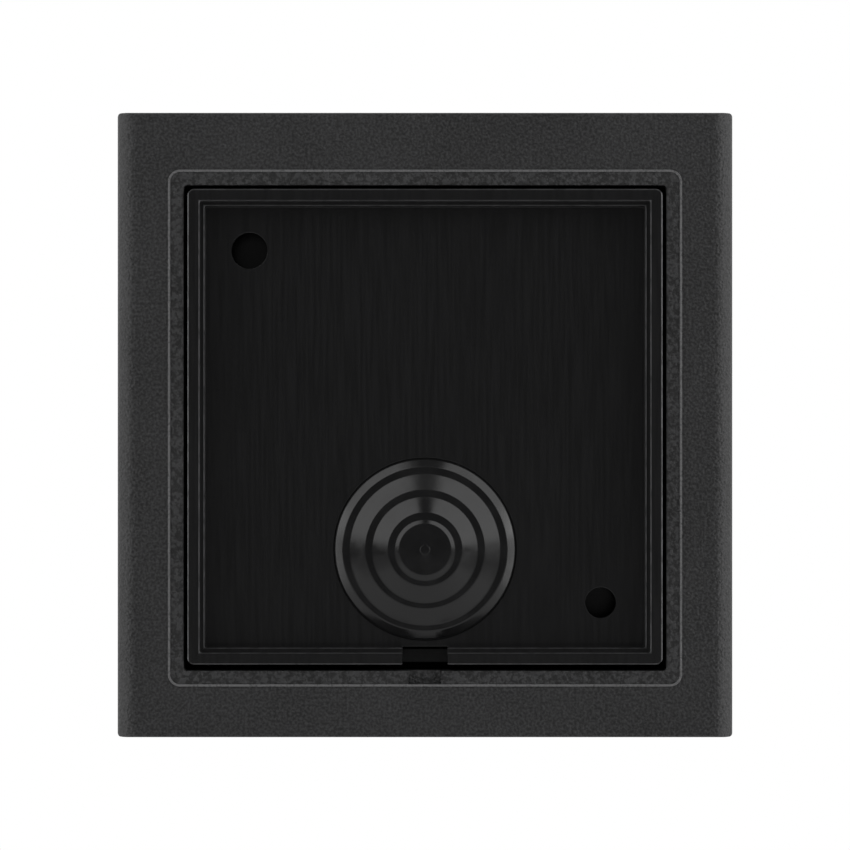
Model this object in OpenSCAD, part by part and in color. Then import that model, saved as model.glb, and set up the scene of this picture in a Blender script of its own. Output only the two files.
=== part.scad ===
// Surface-mounted door intercom panel with its wall plate.
// X is to the right and Z is up, seen from the wall side. Y runs from the wall, at 0, to the front.

/* [Housing] */
// Width of the housing
body_w = 90; // [86:1:120]
// Height of the housing
body_h = 91; // [88:1:120]
// Depth from the wall to the front rim
body_d = 35; // [34.5:0.5:50]
// Thickness of the side walls
wall_t = 2.4; // [1.6:0.1:3.0]
// Gap between the wall and the back of the housing
rear_gap = 0.4; // [0.3:0.1:1.0]
// Thickness of the rear frame
rear_t = 2.8; // [2.0:0.1:3.2]
// Rounding of the long edges beside the rear face
side_round = 3.2; // [1.0:0.1:5.0]
// Rounding of the edges around the front rim
front_round = 4.0; // [1.0:0.1:5.0]
// Rounding of the four corners, seen from behind
corner_round = 0.6; // [0.3:0.1:3.0]
// How far the plate opening sits below the middle of the housing
opening_drop = 0.45; // [0:0.05:1]
// Width of the raised line around the plate opening
ridge_line_w = 0.35; // [0.2:0.05:0.8]
// Height of the raised line
ridge_line_h = 0.15; // [0.05:0.05:0.25]
// Distance from the opening to the outside of the raised line
ridge_margin = 2.3; // [1.5:0.1:4.0]
// Width of the drain scoop below the opening
scoop_w = 4.8; // [3.0:0.1:8.0]
// Depth of the drain scoop
scoop_depth = 1.0; // [0.4:0.1:1.5]

/* [Wall plate] */
// Width of the wall plate
plate_w = 69.2; // [55:0.1:72]
// Height of the wall plate
plate_h = 69.3; // [55:0.1:72]
// Depth of the plate's skirt
plate_d = 11; // [10.4:0.1:11.2]
// How far the plate's middle sits below the middle of the housing
plate_drop = 0.25; // [0:0.05:0.6]
// Side gap between the plate and the housing
plate_side_gap = 0.55; // [0.3:0.05:0.8]
// Corner rounding of the plate
plate_round = 1.0; // [0.4:0.1:4.0]
// Width of the lip that rests on the wall
lip_w = 1.76; // [1.2:0.02:3.0]
// Width of the small step inside the lip
step_w = 0.66; // [0.3:0.02:1.2]
// Depth of the small step below the lip
step_depth = 1.2; // [0.5:0.1:2.5]
// Depth of the plate's floor below the lip
floor_depth = 4.0; // [4.0:0.1:4.4]
// Thickness of the plate's floor
floor_t = 2.0; // [1.5:0.1:2.2]
// Diameter of the upper wall screw hole
screw_hole_upper = 5.3; // [4.0:0.1:6.5]
// Diameter of the lower wall screw hole
screw_hole_lower = 4.5; // [4.0:0.1:6.5]
// Distance of each wall screw hole from the plate's two nearest edges
screw_hole_inset = 8.85; // [6.5:0.05:12]
// Width of the notch in the plate's lip
notch_w = 6.6; // [4.0:0.1:9.0]

/* [Cable grommet] */
// Radius of the grommet's outer flange
grommet_r = 13.2; // [9.0:0.1:14.5]
// Distance from the grommet to the lower edge of the plate's floor
grommet_edge_gap = 1.1; // [0.5:0.1:4.0]
// Thickness of the rubber
grommet_wall = 1.0; // [0.7:0.1:1.3]
// Number of steps on the cone
grommet_steps = 3; // [2:1:4]

/* [Fascia] */
// Width and height of the fascia
fascia_size = 76; // [74:0.5:78]
// Thickness of the fascia
fascia_t = 2.2; // [2.0:0.1:2.6]
// Gap between the fascia and its pocket
fascia_gap = 0.2; // [0.1:0.05:0.5]
// Thickness of the front plate
front_plate_t = 1.0; // [0.8:0.1:1.5]
// How far the rim stands in front of the front plate
rim_proud = 0.6; // [0.3:0.1:1.2]
// Thickness of the fascia seal
seal_t = 0.8; // [0.5:0.1:1.2]
// Thickness of the ledge that the fascia rests on
ledge_t = 2.2; // [1.6:0.1:3.0]
// Distance of the fascia screws from the middle, each way
fascia_screw_at = 33; // [32.5:0.1:33.4]

/* [Camera] */
// Sideways place of the camera
camera_x = 18; // [17:0.1:18.2]
// Height of the camera above the middle
camera_z = 18; // [17.5:0.1:18.2]
// Radius of the camera window
window_r = 8.6; // [8.2:0.1:9.0]
// Thickness of the camera window
window_t = 2.2; // [1.6:0.1:2.2]
// Radius of the lens barrel
lens_r = 4.0; // [3.0:0.1:4.2]
// Largest tilt of the camera, up or down
camera_tilt = 8; // [2:1:8]

/* [Speaker] */
// Sideways place of the speaker
speaker_x = -16; // [-16.5:0.1:-15]
// Height of the speaker above the middle
speaker_z = 16.5; // [15:0.1:16.5]
// Radius of the speaker
speaker_r = 13; // [10:0.1:13]
// Diameter of one sound hole
sound_hole_d = 1.7; // [1.0:0.1:2.2]
// Number of rings of sound holes
sound_rings = 3; // [1:1:3]

/* [Microphone] */
// Sideways place of the microphone
mic_x = 14; // [10:0.1:20]
// Height of the microphone, measured from the middle
mic_z = -27.2; // [-27.5:0.1:-27]
// Radius of the microphone capsule
mic_r = 2.9; // [2.0:0.1:3.0]

/* [Call button] */
// Gap between the button's guide and the inside of the rear cover
button_side_gap = 1.4; // [0.6:0.1:4.0]
// Height of the button, measured from the middle
button_z = -18; // [-20:0.1:-17]
// Radius of the button cap
button_r = 8.5; // [7.8:0.1:10.4]
// Travel of the button
button_travel = 1.2; // [0.6:0.1:1.2]
// How far the cap stands in front of the front plate
button_proud = 0.35; // [0.1:0.05:0.5]
// Width of the light ring around the cap
light_ring_w = 2.1; // [1.2:0.1:2.2]
// Radius of the button spring's coil
spring_r = 6.2; // [5.9:0.1:6.6]
// Thickness of the spring wire
spring_wire = 0.6; // [0.4:0.05:0.8]
// Number of turns of the spring
spring_turns = 4.5; // [3:0.5:6]

/* [Name plate] */
// Right edge of the name window
name_right = 31; // [26:0.1:31]
// Height of the name window, measured from the middle
name_z = -17; // [-17.2:0.1:-14]
// Gap between the light ring and the name window
name_gap = 2; // [1:0.1:6]
// Height of the name window
name_h = 14; // [10:0.5:14]

/* [Board and rear cover] */
// Width and height of the main board
board_size = 62; // [61:0.1:62.4]
// Thickness of the main board
board_t = 1.6; // [1.0:0.1:1.6]
// Distance between the fascia and the main board
board_gap = 13.8; // [13.4:0.1:14]
// Width and height of the rear cover
cover_size = 66.4; // [66:0.1:67]
// Thickness of the rear cover
cover_t = 1.6; // [1.2:0.1:1.8]
// Room between the rear cover and the main board
cover_room = 2.2; // [2.2:0.1:2.6]
// Number of poles of the terminal block
poles = 6; // [4:1:7]
// Distance between two poles
pole_pitch = 3.5; // [3.5:0.01:3.81]
// Largest turn of the volume trimmer, each way
trimmer_turn = 135; // [90:5:150]

/* [Lock screw] */
// Radius of the lock screw's shank
lock_r = 1.5; // [1.2:0.1:1.5]
// How far the lock screw travels to lock
lock_travel = 3.4; // [3.0:0.1:3.6]

/* [Hidden] */
$fn = 64;

eps = 0.01;
arc_steps = 12;

// Clearances
slip = 0.1;
thread_gap = 0.05;
pivot_gap = 0.05;
groove_gap = 0.2;

// Depths along Y, from the wall to the front
housing_y0 = rear_gap;
rear_frame_y1 = housing_y0 + rear_t;
floor_y0 = floor_depth;
floor_y1 = floor_y0 + floor_t;
front_plate_y1 = body_d - rim_proud;
front_plate_y0 = front_plate_y1 - front_plate_t;
fascia_y0 = front_plate_y0 - fascia_t;
ledge_y1 = fascia_y0 - seal_t;
ledge_y0 = ledge_y1 - ledge_t;
board_y1 = fascia_y0 - board_gap;
board_y0 = board_y1 - board_t;
cover_y1 = board_y0 - cover_room;
cover_y0 = cover_y1 - cover_t;
cover_seal_t = 1.0;
cover_rim_y = fascia_y0 - cover_seal_t;
seat_y = fascia_y0 + 1.0;

// Housing
opening_w = plate_w + 2 * plate_side_gap;
opening_h = plate_h + 1.4;
opening_z = -opening_drop;
opening_round = 0.5;
ridge_w = opening_w + 2 * ridge_margin;
ridge_h = opening_h + 2 * ridge_margin;
ridge_round = 1.8;
edge_round = 0.5;
pocket_size = fascia_size + 2 * fascia_gap;
pocket_round = 3.0;
fascia_round = pocket_round - fascia_gap;
ledge_opening = 68;
ledge_opening_round = 14;
boss_r = 2.5;
boss_gap = 0.4;

// Wall plate
plate_z = -plate_drop;
recess_w = plate_w - 2 * lip_w;
recess_h = plate_h - 2 * lip_w;
floor_w = recess_w - 2 * step_w;
floor_h = recess_h - 2 * step_w;
skirt_t = 2.0;
screw_hole_x = plate_w / 2 - screw_hole_inset;
screw_hole_z = plate_h / 2 - screw_hole_inset;
notch_depth = floor_y1;

// Grommet, as pairs of radius and height above the plate's floor
grommet_z = plate_z - floor_h / 2 + grommet_edge_gap + grommet_r;
grommet_hole_r = grommet_r - 1.6;
grommet_inner_r = grommet_r - 0.4;
grommet_inner_t = 1.2;
grommet_rim_h = 0.3;
grommet_base_h = 1.0;
grommet_bevel = 1.2;
grommet_flat = 0.93;
grommet_tip_slope = 0.7;
grommet_tip_r = 3.75;
grommet_tip_h = floor_depth - 0.2;
gate_r = 0.7;
gate_h = 0.15;
grommet_seat = 0.3;

// Lock screw
lock_y = (floor_y1 + plate_d) / 2 - 0.1;
lock_boss_r = 4.0;
lock_head_r = 2.8;
lock_head_h = 2.0;
lock_head_inset = 0.5;
lock_socket_r = 1.2;
lock_tip_gap = 1.3;
skirt_bottom_z = plate_z - plate_h / 2;
lock_boss_z1 = skirt_bottom_z - lock_tip_gap;
lock_head_z0 = -body_h / 2 + lock_head_inset;
lock_seat_z = lock_head_z0 + lock_head_h + lock_travel + slip;
lock_tip_z = skirt_bottom_z - lock_tip_gap;

// Camera
camera_y = fascia_y0 - 7.2;
cradle_w = 14;
cradle_rear = 4.0;
cradle_front = 3.0;
camera_board_t = 1.0;
lens_front = 5.0;
lens_glass_r = 2.8;
lens_glass_edge = 0.5;
lens_recess = 1.8;
trunnion_r = 1.5;
trunnion_l = 2.4;
ear_gap = 0.6;
ear_t = 2.0;
ear_w = 7.0;
bracket_t = 1.4;
bracket_h = 19;
bracket_w = cradle_w + 2 * (ear_gap + ear_t) + 0.4;
view_hole_r = lens_r + 0.7;
window_hole_r = window_r - 1.0;
bezel_r = window_r + 1.0;
bezel_flange_r = bezel_r + 1.0;
camera_light_r = 1.3;
camera_light_at = view_hole_r + 1.5;
camera_light_h = 0.8;

// Speaker, measured back from the gasket's rear face
gasket_t = 0.8;
speaker_y = fascia_y0 - gasket_t;
sound_r = speaker_r - 1.8;
basket_d = 5.0;
basket_back_r = sound_r - 3.0;
magnet_r = basket_back_r - 1.2;
magnet_t = 3.6;
speaker_wall_t = 1.1;
speaker_wall_d = 4.0;
cloth_r = speaker_r - 0.8;
cloth_t = 0.5;
sound_margin = 0.45;
ring_pitch = (sound_r - sound_hole_d / 2 - sound_margin) / sound_rings;
lead_r = 0.45;
lead_spread = 1.3;
lead_gap = 0.05;

// Microphone
mic_hole_r = 0.75;
boot_wall = 0.7;
boot_r = mic_r + boot_wall;
boot_d = 4.4;
mic_t = 2.9;
boot_front_t = 0.9;

// Call button
cap_y1 = front_plate_y1 + button_proud;
button_bore_r = button_r + 0.25;
guide_d = 6.6;
guide_y = fascia_y0 - guide_d;
guide_r = button_bore_r + 1.45;
button_x = -(cover_size / 2 - cover_t - button_side_gap - guide_r);
flange_r = button_r + 1.4;
flange_t = 1.3;
flange_y1 = guide_y - slip;
flange_y0 = flange_y1 - flange_t;
skirt_in_r = spring_r + spring_wire / 2 + 0.6;
shoulder_y = flange_y0 + 3.8;
hub_r = 2.4;
hub_y0 = board_y1 + 5.2;
light_ring_r0 = button_r + 0.4;
light_ring_r1 = light_ring_r0 + light_ring_w;
light_ring_proud = 0.15;
switch_size = 7.4;
switch_h = 3.8;
switch_r = 1.6;
switch_bore_gap = 0.15;
switch_bore_y = board_y1 + 0.8;
plunger_y0 = switch_bore_y + button_travel + 0.2;
symbol_t = 0.3;
symbol_proud = 0.04;
bell_r = 2.3;

// Name plate
name_left = button_x + light_ring_r1 + name_gap;
name_w = name_right - name_left;
name_x = (name_left + name_right) / 2;
name_round = 1.5;
name_y0 = fascia_y0 + 1.4;
card_t = 0.4;
card_margin = 1.0;

// Status lights
status_x = [13, 18, 23];
status_z = 0.5;
status_r = 0.9;

// Board, rear cover and what is fixed to them
board_round = 12;
cover_round = 14;
post_at = [[3, 28], [28, -2], [3, -28], [-28, -2]];
post_r = 2.6;
post_screw_r = 1.1;
post_screw_depth = 9;
cover_boss_r = 3.2;
screw_clear_r = 1.4;
screw_head_r = 2.3;
screw_head_t = 0.95;
screw_sink = 1.0;
terminal_z = 9;
terminal_w = poles * pole_pitch + 0.4;
terminal_h = 7.6;
terminal_d = 8.6;
terminal_y0 = board_y0 - terminal_d;
terminal_screw_r = 1.4;
wire_hole = 2.5;
trimmer_x = 20;
trimmer_z = 9;
trimmer_size = 6.4;
trimmer_t = 2.0;
trimmer_y0 = board_y0 - trimmer_t;
rotor_r = 2.0;
rotor_t = 1.4;
rotor_pin_r = 1.0;
rotor_pin_l = 1.3;

// ---------------------------------------------------------------- shared shapes

function arc(cx, cy, r, from, to, steps = arc_steps) =
    [for (i = [0:steps]) let (a = from + (to - from) * i / steps) [cx + r * cos(a), cy + r * sin(a)]];

// Outline of a rounded rectangle about the origin
function rounded(w, h, r) = concat(
    arc(w / 2 - r, h / 2 - r, r, 0, 90),
    arc(-w / 2 + r, h / 2 - r, r, 90, 180),
    arc(-w / 2 + r, -h / 2 + r, r, 180, 270),
    arc(w / 2 - r, -h / 2 + r, r, 270, 360)
);

// Outline of half a width by a depth, with one rounding at the back and another at the front
function section(width, y0, y1, r_back, r_front) = concat(
    arc(width / 2 - r_front, y1 - r_front, r_front, 0, 90),
    arc(-width / 2 + r_front, y1 - r_front, r_front, 90, 180),
    arc(-width / 2 + r_back, y0 + r_back, r_back, 180, 270),
    arc(width / 2 - r_back, y0 + r_back, r_back, 270, 360)
);

module plate_shape(w, h, r) {
    polygon(rounded(w, h, r));
}

// A flat shape drawn in X and Z, made solid between two depths
module between(y0, y1) {
    translate([0, y1, 0]) rotate([90, 0, 0]) linear_extrude(y1 - y0) children();
}

// A rounded block between two depths
module slab(w, h, r, y0, y1, x = 0, z = 0) {
    translate([x, 0, z]) between(y0, y1) plate_shape(w, h, r);
}

// A round bar along Y
module bar(x, z, r, y0, y1) {
    translate([x, y0, z]) rotate([-90, 0, 0]) cylinder(h = y1 - y0, r = r);
}

module ring(x, z, r_in, r_out, y0, y1) {
    difference() {
        bar(x, z, r_out, y0, y1);
        bar(x, z, r_in, y0 - 1, y1 + 1);
    }
}

// A turned shape whose profile gives radius and distance back from the depth y
module turned(x, z, y, profile) {
    translate([x, y, z]) rotate([90, 0, 0]) rotate_extrude() polygon(profile);
}

// A screw that points to the front: a pan head with a crossed slot, and a plain shank
module screw(x, z, y, head_r, head_t, shank_r, shank_l) {
    slot_w = head_r * 0.3;
    slot_l = head_r * 1.3;
    slot_d = head_t * 0.55;
    difference() {
        bar(x, z, head_r, y - head_t, y);
        translate([x - slot_w / 2, y - head_t - 1, z - slot_l / 2]) cube([slot_w, 1 + slot_d, slot_l]);
        translate([x - slot_l / 2, y - head_t - 1, z - slot_w / 2]) cube([slot_l, 1 + slot_d, slot_w]);
    }
    bar(x, z, shank_r, y - eps, y + shank_l);
}

// A cubic curve through space, from p[0] to p[3]
function curve(p, t) =
    pow(1 - t, 3) * p[0] + 3 * t * pow(1 - t, 2) * p[1] + 3 * t * t * (1 - t) * p[2] + pow(t, 3) * p[3];
function curve_points(p, steps) = [for (i = [0:steps]) curve(p, i / steps)];

// A tube along points, each ring square to the run of its neighbours
module tube(points, r, side_ref, sides = 8) {
    n = len(points);
    rings = [for (i = [0:n - 1])
        let (
            run = points[min(i + 1, n - 1)] - points[max(i - 1, 0)],
            u = cross(run, side_ref) / norm(cross(run, side_ref)),
            v = cross(run, u) / norm(cross(run, u))
        )
        for (k = [0:sides - 1]) points[i] + r * (cos(360 * k / sides) * u + sin(360 * k / sides) * v)];
    walls = [for (i = [0:n - 2], k = [0:sides - 1])
        [i * sides + k, (i + 1) * sides + k, (i + 1) * sides + (k + 1) % sides, i * sides + (k + 1) % sides]];
    first = [for (k = [0:sides - 1]) k];
    last = [for (k = [0:sides - 1]) n * sides - 1 - k];
    polyhedron(points = rings, faces = concat([first], walls, [last]));
}

// ---------------------------------------------------------------- wall plate

module mounting_plate() {
    color("#1b1b1c") difference() {
        slab(plate_w, plate_h, plate_round, 0, plate_d, 0, plate_z);
        slab(recess_w, recess_h, 0.4, -1, step_depth, 0, plate_z);
        slab(floor_w, floor_h, 0.4, -1, floor_y0, 0, plate_z);
        slab(plate_w - 2 * skirt_t, plate_h - 2 * skirt_t, 1.0, floor_y1, plate_d + 1, 0, plate_z);
        bar(-screw_hole_x, plate_z + screw_hole_z, screw_hole_upper / 2, 0, plate_d);
        bar(screw_hole_x, plate_z - screw_hole_z, screw_hole_lower / 2, 0, plate_d);
        bar(0, grommet_z, grommet_hole_r, 0, plate_d);
        bar(0, grommet_z, grommet_r + groove_gap, 0, floor_y0 + grommet_seat);
        translate([-notch_w / 2, -1, skirt_bottom_z - 1])
            cube([notch_w, notch_depth + 1, 1 + (plate_h - floor_h) / 2]);
        translate([0, lock_y, skirt_bottom_z - 1]) cylinder(h = skirt_t + 2, r = lock_r + 0.2);
    }
}

// Stepped cone: each step is a flat and then a slope, and the last slope is a short one up to the tip
module cable_grommet() {
    first_r = grommet_r - grommet_bevel;
    slopes_r = first_r - grommet_tip_r - grommet_tip_slope - grommet_steps * grommet_flat;
    slope_r = slopes_r / (grommet_steps - 1);
    rise = (grommet_tip_h - grommet_base_h) / (slope_r * (grommet_steps - 1) + grommet_tip_slope);
    steps = [for (i = [0:grommet_steps - 1])
        let (r = first_r - i * (slope_r + grommet_flat), h = grommet_base_h + i * slope_r * rise)
        each [[r, h], [r - grommet_flat, h]]];
    outside = concat(
        [[grommet_r, -grommet_seat], [grommet_r, grommet_rim_h]],
        steps,
        [
            [grommet_tip_r, grommet_tip_h],
            [gate_r, grommet_tip_h],
            [gate_r, grommet_tip_h + gate_h],
            [0, grommet_tip_h + gate_h]
        ]
    );
    inside = concat(
        [[0, grommet_tip_h - 0.5], [grommet_tip_r - 0.4, grommet_tip_h - 0.5]],
        [for (i = [grommet_steps - 1:-1:0]) each [
            steps[2 * i + 1] - [0.4, grommet_wall],
            steps[2 * i] - [0.4, grommet_wall]
        ]],
        [
            [first_r - 1.0, -floor_t - grommet_inner_t],
            [grommet_inner_r, -floor_t - grommet_inner_t],
            [grommet_inner_r, -floor_t],
            [grommet_hole_r, -floor_t],
            [grommet_hole_r, -grommet_seat]
        ]
    );
    color("#202021") turned(0, grommet_z, floor_y0, concat(outside, inside));
}

// ---------------------------------------------------------------- housing and fascia

module housing_block() {
    intersection() {
        slab(body_w, body_h, corner_round, housing_y0, body_d);
        translate([0, 0, -body_h / 2]) linear_extrude(body_h)
            polygon(section(body_w, housing_y0, body_d, side_round, front_round));
        translate([-body_w / 2, 0, 0]) rotate([90, 0, 90]) linear_extrude(body_w)
            polygon([for (p = section(body_h, housing_y0, body_d, edge_round, front_round)) [p[1], p[0]]]);
    }
}

module ridge_line() {
    difference() {
        slab(ridge_w, ridge_h, ridge_round, housing_y0 - ridge_line_h, housing_y0 + eps, 0, opening_z);
        slab(ridge_w - 2 * ridge_line_w, ridge_h - 2 * ridge_line_w, ridge_round - ridge_line_w,
             housing_y0 - 1, housing_y0 + 1, 0, opening_z);
    }
}

module housing() {
    color("#2f2f30") difference() {
        union() {
            difference() {
                housing_block();
                slab(body_w - 2 * wall_t, body_h - 2 * wall_t, 2.0, rear_frame_y1, ledge_y0);
            }
            translate([0, lock_y, -body_h / 2 + wall_t / 2])
                cylinder(h = lock_boss_z1 + body_h / 2 - wall_t / 2, r = lock_boss_r);
            ridge_line();
        }
        slab(opening_w, opening_h, opening_round, -1, rear_frame_y1 + 1, 0, opening_z);
        slab(ledge_opening, ledge_opening, ledge_opening_round, ledge_y0 - 1, body_d + 1);
        slab(pocket_size, pocket_size, pocket_round, ledge_y1, body_d + 1);
        for (x = [-1, 1], z = [-1, 1])
            bar(x * fascia_screw_at, z * fascia_screw_at, boss_r + boss_gap, ledge_y0 - 1, body_d);
        translate([-scoop_w / 2, -1, opening_z - ridge_h / 2 + ridge_line_w])
            cube([scoop_w, 1 + housing_y0 + scoop_depth, ridge_margin]);
        translate([0, lock_y, -body_h / 2 - 1])
            cylinder(h = 1 + lock_seat_z + body_h / 2, r = lock_head_r + 0.3);
        translate([0, lock_y, -body_h / 2]) cylinder(h = body_h / 2, r = lock_r + thread_gap);
    }
}

module fascia_seal() {
    color("#151515") difference() {
        slab(pocket_size - 1.0, pocket_size - 1.0, 2.5, ledge_y1, fascia_y0);
        slab(pocket_size - 4.2, pocket_size - 4.2, 2.0, ledge_y1 - 1, fascia_y0 + 1);
    }
}

module fascia() {
    color("#262627") difference() {
        union() {
            slab(fascia_size, fascia_size, fascia_round, fascia_y0, front_plate_y0);
            for (x = [-1, 1], z = [-1, 1])
                bar(x * fascia_screw_at, z * fascia_screw_at, boss_r, ledge_y0 + 0.2, fascia_y0 + eps);
            for (p = post_at) bar(p[0], p[1], post_r, board_y1, fascia_y0 + eps);
            bar(speaker_x, speaker_z, speaker_r + slip + speaker_wall_t,
                fascia_y0 - speaker_wall_d, fascia_y0 + eps);
            bar(button_x, button_z, guide_r, guide_y, fascia_y0 + eps);
        }
        for (x = [-1, 1], z = [-1, 1])
            bar(x * fascia_screw_at, z * fascia_screw_at, post_screw_r + thread_gap,
                ledge_y0 - 1, fascia_y0 + 1.4);
        for (p = post_at)
            bar(p[0], p[1], post_screw_r + thread_gap, board_y1 - 1, board_y1 + post_screw_depth);
        bar(speaker_x, speaker_z, speaker_r + slip, fascia_y0 - speaker_wall_d - 1, fascia_y0);
        bar(speaker_x, speaker_z, sound_r, fascia_y0 - 1, body_d);
        bar(speaker_x, speaker_z, cloth_r, front_plate_y0 - cloth_t, body_d);
        bar(button_x, button_z, button_bore_r, guide_y - 1, body_d);
        bar(button_x, button_z, light_ring_r1 + slip, seat_y, body_d);
        bar(camera_x, camera_z, window_hole_r, fascia_y0 - 1, body_d);
        bar(camera_x, camera_z, bezel_r + slip, seat_y, body_d);
        bar(mic_x, mic_z, mic_hole_r, fascia_y0 - 1, body_d);
        for (x = status_x) bar(x, status_z, status_r + slip / 2, fascia_y0 - 1, body_d);
        slab(name_w + slip, name_h + slip, name_round, name_y0, body_d, name_x, name_z);
        slab(name_w - 2 * card_margin, name_h - 2 * card_margin, name_round, name_y0 - card_t, body_d,
             name_x, name_z);
    }
}

module fascia_screws() {
    color("#8f9194") for (x = [-1, 1], z = [-1, 1])
        screw(x * fascia_screw_at, z * fascia_screw_at, ledge_y0,
            boss_r + boss_gap + 0.3, 1.4, post_screw_r, 4.2);
}

module sound_holes(y0, y1) {
    bar(speaker_x, speaker_z, sound_hole_d / 2, y0, y1);
    for (i = [1:sound_rings], k = [0:6 * i - 1]) {
        a = 60 * k / i;
        bar(speaker_x + i * ring_pitch * cos(a), speaker_z + i * ring_pitch * sin(a),
            sound_hole_d / 2, y0, y1);
    }
}

module front_plate() {
    color("#4a4c4f") difference() {
        slab(fascia_size, fascia_size, fascia_round, front_plate_y0, front_plate_y1);
        sound_holes(front_plate_y0 - 1, front_plate_y1 + 1);
        bar(button_x, button_z, light_ring_r1 + slip, front_plate_y0 - 1, body_d);
        bar(camera_x, camera_z, bezel_r + slip, front_plate_y0 - 1, body_d);
        bar(mic_x, mic_z, mic_hole_r, front_plate_y0 - 1, body_d);
        for (x = status_x) bar(x, status_z, status_r + slip / 2, front_plate_y0 - 1, body_d);
        slab(name_w + slip, name_h + slip, name_round, front_plate_y0 - 1, body_d, name_x, name_z);
    }
}

// ---------------------------------------------------------------- camera

module camera_window() {
    color("#10131a") bar(camera_x, camera_z, window_r, seat_y, seat_y + window_t);
}

module camera_bezel() {
    color("#18181a") difference() {
        union() {
            bar(camera_x, camera_z, bezel_r, seat_y, front_plate_y1 + eps);
            bar(camera_x, camera_z, bezel_flange_r, front_plate_y1, body_d - 0.1);
        }
        bar(camera_x, camera_z, window_r + slip / 2, seat_y - 1, seat_y + window_t);
        bar(camera_x, camera_z, window_r - 0.6, seat_y, body_d + 1);
    }
}

module camera_bracket() {
    ear_x = cradle_w / 2 + ear_gap;
    color("#202022") difference() {
        union() {
            slab(bracket_w, bracket_h, 1.5, fascia_y0 - bracket_t, fascia_y0, camera_x, camera_z);
            for (s = [-1, 1])
                translate([
                    camera_x + s * (ear_x + ear_t / 2) - ear_t / 2,
                    camera_y - 2.6,
                    camera_z - ear_w / 2
                ])
                    cube([ear_t, fascia_y0 - bracket_t - camera_y + 2.6 + eps, ear_w]);
        }
        bar(camera_x, camera_z, view_hole_r, fascia_y0 - bracket_t - 1, body_d);
        translate([camera_x - bracket_w, camera_y, camera_z]) rotate([0, 90, 0])
            cylinder(h = 2 * bracket_w, r = trunnion_r + pivot_gap);
    }
}

module camera_lights() {
    color("#e8e6d8") for (k = [0:3]) {
        a = 45 + 90 * k;
        bar(camera_x + camera_light_at * cos(a), camera_z + camera_light_at * sin(a), camera_light_r,
            fascia_y0, fascia_y0 + camera_light_h);
    }
}

module camera_cradle() {
    color("#29292b") {
        difference() {
            slab(cradle_w, cradle_w, 1.2, camera_y - cradle_rear, camera_y + cradle_front,
                camera_x, camera_z);
            bar(camera_x, camera_z, lens_r, camera_y - cradle_rear - 1, camera_y + cradle_front + 1);
        }
        for (s = [-1, 1])
            translate([camera_x + s * (cradle_w / 2 + trunnion_l / 2), camera_y, camera_z]) rotate([0, 90, 0])
                cylinder(h = trunnion_l + 2 * eps, r = trunnion_r, center = true);
    }
}

module camera_board() {
    color("#1d4a33") {
        slab(cradle_w, cradle_w, 0.6, camera_y - cradle_rear - camera_board_t, camera_y - cradle_rear,
             camera_x, camera_z);
    }
}

module camera_lens() {
    color("#141416") difference() {
        bar(camera_x, camera_z, lens_r, camera_y - cradle_rear, camera_y + lens_front);
        bar(camera_x, camera_z, lens_glass_r, camera_y + lens_front - lens_recess, body_d);
    }
}

module camera_lens_glass() {
    dome_h = 1.0;
    dome_r = (lens_glass_r * lens_glass_r + dome_h * dome_h) / (2 * dome_h);
    half = asin(lens_glass_r / dome_r);
    base_y = camera_y + lens_front - lens_recess;
    color("#20263a") translate([camera_x, base_y, camera_z]) rotate([-90, 0, 0]) rotate_extrude()
        polygon(concat(
            [[0, 0], [lens_glass_r, 0]],
            arc(0, lens_glass_edge + dome_h - dome_r, dome_r, 90 - half, 90, 10)
        ));
}

// ---------------------------------------------------------------- sound

module speaker_cloth() {
    color("#0f0f10") bar(speaker_x, speaker_z, cloth_r, front_plate_y0 - cloth_t, front_plate_y0);
}

module speaker_gasket() {
    color("#1a1a1a") ring(speaker_x, speaker_z, sound_r, speaker_r, speaker_y, fascia_y0);
}

module speaker_frame() {
    color("#9a9c9f") turned(speaker_x, speaker_z, speaker_y, [
        [sound_r, 0], [speaker_r, 0], [speaker_r, 1.2], [sound_r + 0.6, 1.2],
        [basket_back_r, basket_d], [0, basket_d], [0, basket_d - 0.8], [basket_back_r - 0.8, basket_d - 0.8],
        [sound_r - 0.3, 0.9], [sound_r, 0.9]
    ]);
}

module speaker_cone() {
    color("#2b2a28") turned(speaker_x, speaker_z, speaker_y, [
        [0, 1.3], [2.0, 1.7], [3.4, 2.6], [sound_r - 1.8, 0.5], [sound_r - 1.1, 0.05], [sound_r, 0.05],
        [sound_r, 0.4], [sound_r - 1.0, 0.4], [sound_r - 1.6, 0.9], [3.5, 3.0], [1.8, 2.1], [0, 1.7]
    ]);
}

module speaker_magnet() {
    basket_y = speaker_y - basket_d;
    color("#57595c") bar(speaker_x, speaker_z, magnet_r, basket_y - magnet_t, basket_y);
}

module speaker_leads() {
    top_y = speaker_y - basket_d;
    top_z = speaker_z - (basket_back_r + magnet_r) / 2;
    color("#a02828") for (s = [-1, 1])
        tube(curve_points([
            [speaker_x + s * lead_spread, top_y - lead_gap, top_z],
            [speaker_x + s * lead_spread, top_y - 4, top_z],
            [speaker_x + 2 * s * lead_spread, board_y1 + 4, top_z - 5],
            [speaker_x + 2 * s * lead_spread, board_y1 + lead_gap, top_z - 5]
        ], 12), lead_r, [1, 0, 0]);
}

module microphone_boot() {
    color("#161617") difference() {
        bar(mic_x, mic_z, boot_r, fascia_y0 - boot_d, fascia_y0);
        bar(mic_x, mic_z, mic_r, fascia_y0 - boot_d - 1, fascia_y0 - boot_front_t);
        bar(mic_x, mic_z, mic_hole_r, fascia_y0 - boot_d, fascia_y0 + 1);
    }
}

module microphone() {
    color("#b9bbbe") bar(mic_x, mic_z, mic_r, fascia_y0 - boot_front_t - mic_t, fascia_y0 - boot_front_t);
}

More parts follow.
